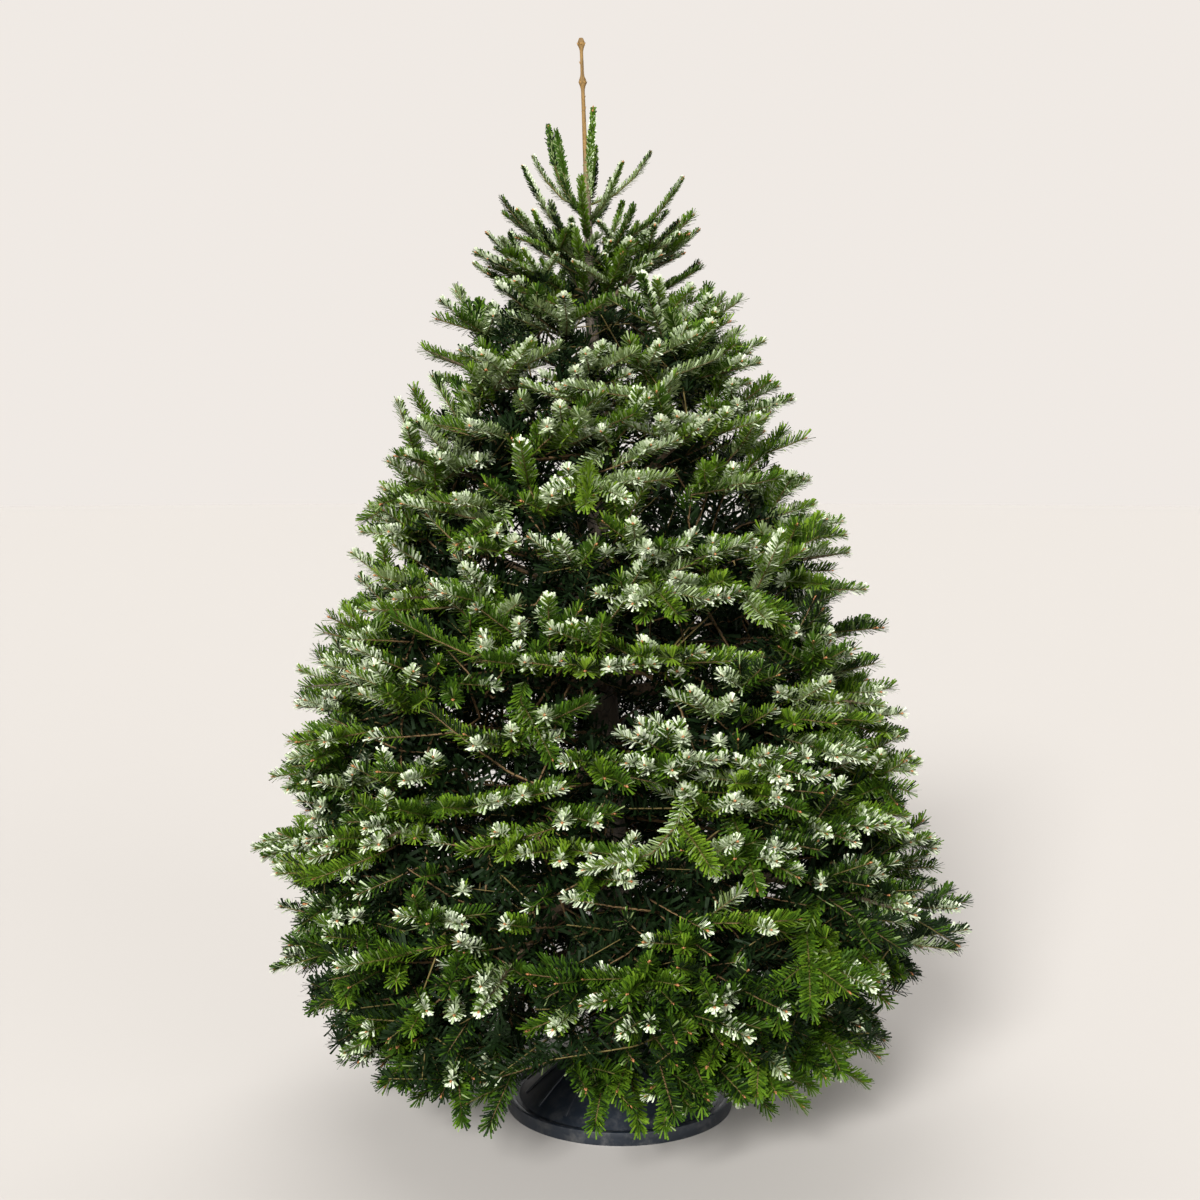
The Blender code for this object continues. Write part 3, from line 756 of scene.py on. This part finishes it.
def needle_rows(shoots, rule):
    """One row per needle: place, axis, share along the shoot, turn round it, and the shoot's number."""
    places, axes, shares, turns, owner = [], [], [], [], []
    for number, shoot in enumerate(shoots):
        points = np.array([tuple(p) for p in shoot.points])
        steps = np.linalg.norm(np.diff(points, axis=0), axis=1)
        run = np.concatenate([[0], np.cumsum(steps)])
        denser = np.interp(points[-1, 2], TOP_NEEDLE_HEIGHTS, (1, 1.35))
        count = max(8, int(run[-1] * shoot.needle.per_metre * denser))
        share = (np.arange(count) + rule.uniform(0.2, 0.8, count)) / count
        share = 1 - (1 - share) ** (1.45 if shoot.frost else 1.1)
        where = share * run[-1]
        ways = unit(np.gradient(points, axis=0))
        places.append(np.stack([np.interp(where, run, points[:, axis]) for axis in range(3)], -1))
        axes.append(unit(np.stack([np.interp(where, run, ways[:, axis]) for axis in range(3)], -1)))
        shares.append(share)
        # the needles leave a level shoot's underside bare, and go all round its tip and a steep shoot
        turn = (np.arange(count) * GOLDEN_TURN) % 1.0 * 2 - 1
        steep = np.abs(axes[-1][:, 2])
        clad = np.maximum(np.interp(share, (0, 0.75, 1), (130, 134, 178)), 130 + 50 * np.minimum(1, steep * 1.3))
        turns.append(turn * np.radians(clad) + rule.normal(0, 0.12, count))
        owner.append(np.full(count, number))
    return [np.concatenate(x) for x in (places, axes, shares, turns, owner)]


def needles(shoots, seed):
    """(vertices, triangles, slots): blunt slips, each in the colour of the side that it turns out of the crown."""
    rule = np.random.default_rng(seed)
    place, axis, share, turn, owner = needle_rows(shoots, rule)
    count = len(place)
    side, lift = frames_along(axis)
    radial = side * np.sin(turn)[:, None] + lift * np.cos(turn)[:, None]
    kinds = np.array([s.needle for s in shoots])[owner]
    inner = np.array([s.needle in (INNER_NEEDLE, SHADED_NEEDLE) for s in shoots])[owner]
    frost = np.array([s.frost for s in shoots])[owner]
    tipward = np.clip((share - 1) / np.maximum(1.7 * frost, 1e-6) + 1, 0, 1)
    pale = rule.random(count) < tipward**0.8 * (frost > 0)

    # the way that each needle points, and the way that its upper side faces
    lean = np.radians(kinds[:, 3] - 26 * share**8 + rule.normal(0, 6.5, count))
    way = axis * np.cos(lean)[:, None] + radial * np.sin(lean)[:, None] + lift * 0.16
    way = unit(way + rule.normal(0, 0.05, (count, 3)))
    flat = np.abs(np.sin(turn))[:, None]
    top = lift * flat + (axis * np.sin(lean)[:, None] - radial * np.cos(lean)[:, None]) * (1 - flat)
    top = unit(top - way * np.sum(top * way, axis=1, keepdims=True) + rule.normal(0, 0.12, (count, 3)))
    across = unit(np.cross(way, top))

    # its size: shorter at both ends of a shoot and near the top of the tree
    small = np.interp(place[:, 2], TOP_NEEDLE_HEIGHTS, (1, 0.78))
    ends = np.where(inner, 1.0, np.minimum(1, 0.78 + 1.4 * np.minimum(share, 1 - share + 0.12)))
    ends = ends * (1 - 0.28 * tipward * (frost > 0))
    length = (kinds[:, 1] * small * ends * rule.uniform(0.74, 1.12, count))[:, None]
    half = (kinds[:, 2] / 2 * np.where(pale, 1.3, 1) * rule.uniform(0.85, 1.1, count))[:, None]

    # its slip, which faces out of the crown; a pale one is closed by a second slip just behind
    root = place + radial * 0.0008
    tip = root + way * length
    out = unit(place - np.array([tuple(trunk_centre(z)) for z in place[:, 2]]))
    out[:, 2] += (EYE_HEIGHT - place[:, 2]) * 0.35 + 0.06
    outward = np.sum(np.cross(across, way) * out, axis=1)
    half[outward > 0] *= -1
    behind = np.cross(across, way) * np.where(pale, -0.0004, 0.0)[:, None] * np.sign(half)
    corners = [root - across * half * 0.62 + behind, root + across * half * 0.62,
               tip + across * half + behind, tip - across * half]
    vertices = np.stack(corners, 1).reshape(-1, 3)
    first = np.arange(count)[:, None, None] * 4
    seen = first + np.array([[0, 1, 2], [0, 2, 3]])[None]
    backs = (first + np.array([[0, 3, 1], [1, 3, 2]])[None])[pale]

    # its colour: a green by spray and by height, darker low down and at the very top as painted shade and lighter
    # between as painted light, or the shoot's under colour, with silver flecks
    green = np.array([s.green for s in shoots])[owner]
    painted_light_by_height = np.interp(place[:, 2], (0.25, 1.1, 1.5, 1.8), (0.06, 0.38, 0.34, 0.16))
    hue = np.clip(green * 0.62 + painted_light_by_height + rule.normal(0, 0.14, count), 0, 0.999)
    # needles inside the crown take the deepest green, painted shade
    upper = np.where(inner, DEEP_PAINTED_SHADE, (hue * SILVER).astype(int))
    under = np.array([s.under for s in shoots])[owner]
    beneath = np.sum(top * out, axis=1) + rule.normal(0, 0.15, count) < 0
    slots = np.where(beneath, under, upper)
    chance = rule.random(count)
    silvers = np.where(chance < 0.25, SILVER_BRIGHT, SILVER)
    slots = np.where((under == SILVER) & (chance < 0.65), silvers, slots)
    flecks = np.interp(place[:, 2], (0.4, 0.9, 1.4), (0.02, 0.09, 0.20))
    slots = np.where(~inner & (under != SILVER) & (chance < flecks), SILVER, slots)

    # a pale needle is green on the side that it turns back along its twig
    light = np.where(rule.random(count) < 0.25 + 0.5 * tipward, FROST, SILVER_BRIGHT)
    forward = np.sum(np.cross(across, way) * -np.sign(half) * axis, axis=1) > 0
    front = np.where(pale & forward, light, np.where(pale, upper, slots))
    back = np.where(forward, upper, light)[pale]
    triangles = np.concatenate([seen.reshape(-1, 3), backs.reshape(-1, 3)])
    return vertices, triangles, np.concatenate([np.repeat(front, 2), np.repeat(back, 2)])


def spindle(place, way, length, radius, sides=4):
    """(vertices, triangles) of a bud: pointed at both ends, widest near its foot."""
    side, lift = frame_along(way)
    ring = [
        place + way * (length * 0.4) + (side * math.cos(a) + lift * math.sin(a)) * radius
        for a in (math.tau * i / sides for i in range(sides))
    ]
    points = [place, *ring, place + way * length]
    faces = []
    for i in range(sides):
        j = (i + 1) % sides
        faces += [(0, 1 + j, 1 + i), (sides + 1, 1 + i, 1 + j)]
    return np.array([tuple(p) for p in points]), np.array(faces)


# Materials


class Value:
    """A number in a material. Python's own signs on it add Math nodes."""

    def __init__(self, finish, socket):
        self.finish, self.socket = finish, socket

    def _sign(self, operation, first, second):
        return self.finish.node("Math", {"operation": operation}, {0: first, 1: second})

    def __add__(self, other):
        return self._sign("ADD", self, other)

    def __sub__(self, other):
        return self._sign("SUBTRACT", self, other)

    def __rsub__(self, other):
        return self._sign("SUBTRACT", other, self)

    def __mul__(self, other):
        return self._sign("MULTIPLY", self, other)

    __radd__ = __add__
    __rmul__ = __mul__


class Finish:
    """A material in the making, on one Principled shader."""

    def __init__(self, name, **sockets):
        self.material = bpy.data.materials.new(name)
        self.material.use_nodes = True
        self.tree = self.material.node_tree
        self.shader = self.tree.nodes["Principled BSDF"]
        for key, value in sockets.items():
            self.set(key.title(), value)

    def set(self, socket, value):
        self.fill(self.shader.inputs[socket], value)

    def fill(self, socket, value):
        if isinstance(value, Value):
            self.tree.links.new(value.socket, socket)
        elif isinstance(value, tuple) and len(value) == 3 and socket.type == "RGBA":
            socket.default_value = (*value, 1)
        else:
            socket.default_value = value

    def node(self, kind, settings=None, values=None, output=0):
        made = self.tree.nodes.new("ShaderNode" + kind)
        for key, value in (settings or {}).items():
            if key == "stops":
                ramp = made.color_ramp
                while len(ramp.elements) < len(value):
                    ramp.elements.new(0.5)
                for element, (position, colour) in zip(ramp.elements, value):
                    element.position = position
                    element.color = (*colour, 1)
            else:
                setattr(made, key, value)
        for key, value in (values or {}).items():
            self.fill(made.inputs[key], value)
        return Value(self, made.outputs[output])

    def place(self):
        """Object coordinates."""
        return self.node("TexCoord", output=3)

    def coordinates(self, scale=(1, 1, 1), shift=(0, 0, 0)):
        return self.node("Mapping", None, {"Vector": self.place(), "Scale": scale, "Location": shift})

    def height(self):
        return self.node("SeparateXYZ", None, {0: self.place()}, output=2)

    def noise(self, vector, scale, detail, roughness, distortion=0.0):
        values = {"Vector": vector, "Scale": scale, "Detail": detail, "Roughness": roughness}
        return self.node("TexNoise", None, values | {"Distortion": distortion})

    def ramp(self, value, *stops):
        return self.node("ValToRGB", {"stops": stops}, {0: value})

    def mix(self, factor, first, second):
        return self.node("Mix", {"data_type": "RGBA"}, {0: factor, 6: first, 7: second}, output=2)

    def between(self, value, low, high, to_low=0.0, to_high=1.0):
        return self.node("MapRange", {"clamp": True}, {0: value, 1: low, 2: high, 3: to_low, 4: to_high})

    def bump(self, height, distance, strength):
        self.set("Normal", self.node("Bump", None, {"Height": height, "Distance": distance, "Strength": strength}))


def shade_of(colour, share):
    """A colour made darker or lighter."""
    return tuple(min(1, c * share) for c in colour)


def bark_finish(name, young, old, golden=None):
    """Fir bark: smooth and greyish, with resin blisters in its relief, dark cross cracks and lichen-grey patches.
    """
    f = Finish(name, roughness=0.82)
    grain = f.noise(f.coordinates((1, 1, 0.22)), 90, 6, 0.62, 0.4)
    patches = f.noise(f.coordinates((1, 1, 0.5)), 16, 4, 0.6)
    to_edge = {"feature": "DISTANCE_TO_EDGE"}
    cracks = f.node("TexVoronoi", to_edge, {"Vector": f.coordinates((1, 1, 0.45)), "Scale": 62})
    blisters = f.node("TexVoronoi", None, {"Vector": f.coordinates((0.6, 0.6, 1)), "Scale": 85})
    colour = f.ramp(grain, (0.25, old), (0.52, young), (0.8, shade_of(young, 1.5)))
    colour = f.mix(f.between(cracks, 0.0, 0.06, 0.55, 0.0), colour, shade_of(old, 0.35))
    colour = f.mix(f.between(patches, 0.55, 0.75, 0.0, 0.55), colour, (0.24, 0.235, 0.20))
    if golden:
        bare = f.ramp(grain, (0.3, shade_of(golden, 0.45)), (0.6, golden))
        colour = f.mix(f.between(f.height(), 1.80, 1.93), colour, bare)
    f.set("Base Color", colour)
    f.set("Roughness", f.between(grain, 0.2, 0.8, 0.68, 0.92))
    edges = f.between(cracks, 0, 0.08) * 0.7
    f.bump(grain * 0.6 + edges + f.between(blisters, 0.0, 0.3, 0.5, 0.0), 0.0016, 0.8)
    return f.material


def plain(name, colour, roughness, specular):
    f = Finish(name, roughness=roughness)
    f.set("Base Color", colour)
    f.set("Specular IOR Level", specular)
    return f.material


def needle_finishes():
    return [
        # the deepest green is near-black painted shade, for needles inside the crown and dark low ones
        plain("needle_deep", (0.006, 0.017, 0.003), 0.6, 0.15),
        plain("needle_dark", (0.037, 0.084, 0.007), 0.5, 0.08),
        plain("needle_green", (0.080, 0.155, 0.009), 0.5, 0.08),
        plain("needle_bright", (0.140, 0.230, 0.017), 0.5, 0.1),
        plain("needle_silver", (0.21, 0.275, 0.105), 0.55, 0.2),
        plain("needle_silver_bright", (0.43, 0.52, 0.30), 0.55, 0.25),
        plain("needle_frost", (0.74, 0.81, 0.60), 0.55, 0.25),
        # the shaded green is painted shade, for needles inside the crown and the undersides of low shoots
        plain("needle_shaded", (0.010, 0.022, 0.006), 0.7, 0.12),
    ]


def plastic_finish():
    """Dark slate moulded plastic: a fine spark-eroded grain, faint flow marks, floor dust and light scuffs."""
    f = Finish("stand_plastic", metallic=0.0, roughness=0.42)
    spot = f.coordinates()
    grain = f.noise(spot, 900, 2, 0.5)
    flow = f.noise(f.coordinates((1, 1, 3)), 7, 5, 0.6, 1.2)
    scuffs = f.noise(f.coordinates((1, 1, 12)), 55, 3, 0.7, 0.6)
    dust = f.noise(spot, 38, 6, 0.7)
    base = f.ramp(flow, (0.3, (0.0062, 0.0095, 0.0150)), (0.7, (0.0115, 0.0165, 0.0245)))
    low = f.between(f.height(), 0.0, 0.05, 0.5, 0.12)
    dusty = f.between(dust, 0.48, 0.72, 0.0, 1.0) * low
    colour = f.mix(dusty, base, (0.13, 0.125, 0.115))
    colour = f.mix(f.between(scuffs, 0.66, 0.74, 0.0, 0.35), colour, (0.075, 0.085, 0.095))
    f.set("Base Color", colour)
    f.set("Roughness", f.between(flow, 0.3, 0.7, 0.36, 0.5) + dusty * 0.35)
    f.bump(grain * 0.35 + scuffs * 0.3, 0.0004, 0.6)
    return f.material


def steel_finish():
    """Dark painted steel with worn scratches and a little rust."""
    f = Finish("clamp_metal", metallic=0.85)
    spot = f.coordinates()
    cloud = f.noise(spot, 45, 5, 0.65)
    scratch = f.noise(f.coordinates((1, 1, 14), (0.3, 0.1, 0)), 120, 2, 0.6)
    rust = f.noise(spot, 75, 6, 0.7, 0.5)
    colour = f.ramp(cloud, (0.35, (0.035, 0.038, 0.042)), (0.65, (0.065, 0.07, 0.075)))
    colour = f.mix(f.between(scratch, 0.62, 0.7, 0.0, 0.7), colour, (0.30, 0.31, 0.32))
    rusty = f.between(rust, 0.64, 0.72)
    colour = f.mix(rusty, colour, (0.12, 0.045, 0.015))
    f.set("Base Color", colour)
    f.set("Metallic", 0.85 - rusty * 0.75)
    f.set("Roughness", f.between(cloud, 0.3, 0.7, 0.34, 0.5) + rusty * 0.35)
    f.bump(cloud * 0.4 + rusty * 0.6, 0.0005, 0.7)
    return f.material


# Pieces shaped with mesh operators


def linked(name, data):
    """A new object in the scene."""
    piece = bpy.data.objects.new(name, data)
    bpy.context.scene.collection.objects.link(piece)
    return piece


def piece_from(bm, name, materials, sharp=None):
    """A piece from a bmesh, smooth but for the edges that turn more than sharp, in degrees."""
    mesh = bpy.data.meshes.new(name)
    bmesh.ops.recalc_face_normals(bm, faces=bm.faces)
    bm.to_mesh(mesh)
    bm.free()
    for material in materials:
        mesh.materials.append(material)
    if sharp:
        mesh.shade_smooth()
        mesh.set_sharp_from_angle(angle=math.radians(sharp))
    return linked(name, mesh)


def spun(profile, steps):
    """A shape turned about +Z from a profile of (radius, height)."""
    bm = bmesh.new()
    verts = [bm.verts.new((radius, 0, height)) for radius, height in profile]
    edges = [bm.edges.new(pair) for pair in zip(verts, verts[1:])]
    bmesh.ops.spin(
        bm, geom=verts + edges, cent=(0, 0, 0), axis=(0, 0, 1), angle=math.tau, steps=steps, use_merge=True
    )
    bmesh.ops.remove_doubles(bm, verts=bm.verts, dist=1e-5)
    return bm


def place_ring(verts, height):
    """Sets a ring of the trunk round its middle, with its share of the bark's relief."""
    middle = trunk_centre(height)
    radius = trunk_radius(height)
    for tier in TIERS:
        whorl = math.exp(-(((height - tier.height) / WHORL_SPREAD) ** 2))
        radius += WHORL_SWELL * whorl * min(1, radius / 0.02)
    for vert in verts:
        out = out_at(math.atan2(vert.co.y, vert.co.x))
        spot = middle + out * radius
        long = noise.noise(Vector((spot.x * 60, spot.y * 60, spot.z * 9)))
        fine = noise.noise(Vector((spot.x * 190, spot.y * 190, spot.z * 70)))
        vert.co = spot + out * min(1.0, radius / 0.03) * (0.0016 * long + 0.0008 * fine)


def make_trunk(bark):
    """The trunk with its bark's relief: whorl swellings and long shallow furrows."""
    heights = [FOOT_HEIGHT + 0.0004]
    while heights[-1] < TREE_HEIGHT - 0.004:
        heights.append(heights[-1] + (0.012 if heights[-1] < LEADER_FOOT_HEIGHT else 0.006))
    heights[-1] = TREE_HEIGHT - 0.0015
    bm = bmesh.new()
    ring = bmesh.ops.create_circle(bm, cap_ends=True, segments=TRUNK_SIDES, radius=1.0)["verts"]
    edges = list(bm.edges)
    place_ring(ring, heights[0])
    for height in heights[1:]:
        made = bmesh.ops.extrude_edge_only(bm, edges=edges)["geom"]
        ring = [g for g in made if isinstance(g, bmesh.types.BMVert)]
        edges = [g for g in made if isinstance(g, bmesh.types.BMEdge)]
        middle = sum((v.co for v in ring), Vector()) / len(ring)
        bmesh.ops.translate(bm, vec=-middle, verts=ring)
        place_ring(ring, height)
    bmesh.ops.contextual_create(bm, geom=edges)
    return piece_from(bm, "trunk_bark", [bark], sharp=60)


def add_rib(bm, turn):
    """One rib on the stand's dome, at an angle round it."""
    rib = bmesh.new()
    bmesh.ops.create_cube(rib, size=1.0)
    bmesh.ops.scale(rib, vec=(RIB_LENGTH, RIB_WIDTH, RIB_DEPTH), verts=rib.verts)
    long = [e for e in rib.edges if abs((e.verts[0].co - e.verts[1].co).x) > RIB_LENGTH / 2]
    bmesh.ops.subdivide_edges(rib, edges=long, cuts=6)
    for vert in rib.verts:
        share = vert.co.x / RIB_LENGTH + 0.5
        vert.co.z += DOME_BELLY * math.sin(math.pi * share)
        vert.co.y *= 0.8 + 0.5 * share
    bmesh.ops.bevel(rib, geom=rib.edges, offset=0.0012, segments=2, profile=0.5, affect="EDGES", material=-1)
    slope = Vector((DOME_FOOT[0] - DOME_TOP[0], 0, DOME_FOOT[1] - DOME_TOP[1])).normalized()
    outward = Vector((-slope.z, 0, slope.x))
    middle = Vector((0.1535, 0, 0.0645)) + outward * 0.0004
    basis = Matrix((slope, Vector((0, 1, 0)), outward)).transposed().to_4x4()
    onto = Matrix.Rotation(turn, 4, "Z") @ Matrix.Translation(middle) @ basis
    bmesh.ops.transform(rib, matrix=onto, verts=rib.verts)
    mesh = bpy.data.meshes.new("rib")
    rib.to_mesh(mesh)
    rib.free()
    bm.from_mesh(mesh)
    bpy.data.meshes.remove(mesh)


def make_stand(plastic):
    """The moulded stand: rim band, groove, bellied dome with ribs, and the collar round the socket."""
    dome = []
    for i in range(9):
        share = i / 8
        radius = DOME_FOOT[0] + (DOME_TOP[0] - DOME_FOOT[0]) * share
        height = DOME_FOOT[1] + (DOME_TOP[1] - DOME_FOOT[1]) * share + DOME_BELLY * math.sin(math.pi * share)
        dome.append((radius, height))
    bm = spun([*SOCKET_AND_COLLAR, *reversed(dome), *GROOVE_AND_RIM], 144)
    for i in range(RIB_COUNT):
        add_rib(bm, math.tau * (i + 0.5) / RIB_COUNT)
    return piece_from(bm, "stand_shell", [plastic], sharp=34)


# The dressed tree


def ride(piece, nodes=()):
    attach(piece, "root")
    if nodes:
        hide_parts(*nodes)


def finish_needles(nodes):
    finishes = needle_finishes()
    for index, tier in enumerate(TIERS):
        shoots = [s for s in SHOOTS if s.tier == tier.name]
        piece = mesh_piece(f"needles_{tier.name}", *needles(shoots, 20 + index), finishes, False)
        ride(piece, [n for n in nodes if n.startswith(tier.name + "_mass")])
    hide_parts("leader_mass")


def finish_limbs(nodes):
    """The main boughs with their bark's relief, and all other limbs as fine tubes."""
    bark = bark_finish("bough_bark", (0.12, 0.080, 0.044), (0.05, 0.034, 0.02))
    vertices, triangles = joined([bough_skin(limb) for limb in LIMBS if limb.order == 1])
    boughs = mesh_piece("bough_bark", vertices, triangles, np.zeros(len(triangles)), [bark], True)
    ride(boughs, [n for n in nodes if "_bough_" in n])

    twigs = [limb for limb in LIMBS if limb.order > 1]
    tubes = [tube(*thinned(limb), 3) for limb in twigs]
    young = np.concatenate([np.full(len(t), limb.order > 2) for (_, t), limb in zip(tubes, twigs)])
    barks = [plain("twig_tan", (0.17, 0.105, 0.045), 0.7, 0.3), plain("twig_young", (0.15, 0.115, 0.035), 0.7, 0.3)]
    ride(mesh_piece("twigs", *joined(tubes), young.astype(int), barks, True))


def leader_scales():
    """The dried buds and scales on the bare leader."""
    parts = []
    for knot in KNOT_HEIGHTS:
        for turn in range(5):
            out = out_at(math.radians(72 * turn + 500 * knot))
            way = Vector((out.x, out.y, 0.9)).normalized()
            foot = trunk_centre(knot - 0.004) + Vector((way.x, way.y, 0)) * 0.004
            parts.append(spindle(foot, way, 0.0085, 0.0030, 5))
    for i in range(SCALE_COUNT):
        out = out_at(SCALE_TURN * i)
        way = Vector((out.x, out.y, 1.7)).normalized()
        foot = trunk_centre(SCALES_FROM + SCALE_GAP * i) + Vector((way.x, way.y, 0)) * 0.0022
        parts.append(spindle(foot, way, 0.0050 + 0.0022 * (i % 3), 0.0013 + 0.0005 * (i % 2), 3))
    return parts


def finish_buds():
    parts = leader_scales()
    dried = sum(len(triangles) for _, triangles in parts)
    for place, way, size in BUDS:
        side, _ = frame_along(way)
        parts.append(spindle(place + way * 0.002, way, 0.0085 * size, 0.0028 * size))
        for hand in (-1, 1):
            aside = (way + side * hand * 0.8).normalized()
            parts.append(spindle(place - way * 0.001, aside, 0.006 * size, 0.0021 * size, 3))
    vertices, triangles = joined(parts)
    slots = (np.arange(len(triangles)) < dried).astype(int)
    buds = [plain("bud_orange", (0.40, 0.17, 0.065), 0.5, 0.4), plain("bud_dried", (0.30, 0.17, 0.05), 0.7, 0.3)]
    ride(mesh_piece("buds", vertices, triangles, slots, buds, True))


def finish_tree():
    nodes = list(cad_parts)
    grow_tree()
    finish_needles(nodes)
    finish_limbs(nodes)
    finish_buds()
    bark = bark_finish("trunk_bark", (0.16, 0.128, 0.095), (0.075, 0.058, 0.042), (0.25, 0.145, 0.042))
    ride(make_trunk(bark), ["trunk"])
    ride(make_stand(plastic_finish()), ["stand_base"])
    steel = steel_finish()
    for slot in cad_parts["stand_clamp"].material_slots:
        slot.material = steel


def soft_sun(name, way, strength, spread):
    light = bpy.data.lights.new(name, "SUN")
    light.energy = strength
    light.angle = math.radians(spread)
    linked(name, light).rotation_euler = Vector(way).to_track_quat("-Z", "Y").to_euler()


def make_studio():
    """A plain pale floor and surround, four soft suns and the camera at the photograph's angle."""
    bm = bmesh.new()
    bmesh.ops.create_circle(bm, cap_ends=True, segments=96, radius=40.0)
    piece_from(bm, "floor", [plain("floor_pale", (0.560, 0.530, 0.498), 0.8, 0.0)])

    world = bpy.data.worlds.new("studio")
    bpy.context.scene.world = world
    world.use_nodes = True
    nodes, links = world.node_tree.nodes, world.node_tree.links
    surround = nodes["Background"]
    surround.inputs[0].default_value = (1.0, 0.945, 0.895, 1)
    ray = nodes.new("ShaderNodeLightPath")
    strength = nodes.new("ShaderNodeMapRange")
    strength.inputs[3].default_value = 0.17  # as a light
    strength.inputs[4].default_value = 0.87  # as it is seen
    links.new(ray.outputs["Is Camera Ray"], strength.inputs[0])
    links.new(strength.outputs[0], surround.inputs[1])
    bpy.context.scene.view_settings.view_transform = "Standard"

    soft_sun("key", (0.34, 1.0, -0.52), 5.4, 18)
    soft_sun("fill", (-0.8, 1.0, -0.20), 1.4, 40)
    soft_sun("top", (0.15, -0.25, -1.0), 1.1, 50)
    soft_sun("back", (-0.25, -1.0, -0.42), 1.8, 60)

    lens = bpy.data.cameras.new("camera")
    lens.sensor_width = 36
    lens.lens = 51.2
    camera = linked("camera", lens)
    camera.location = (-0.04, -3.4, EYE_HEIGHT)
    camera.rotation_euler = (math.radians(85), 0, 0)
    bpy.context.scene.camera = camera


finish_tree()
make_studio()
bpy.context.view_layer.update()
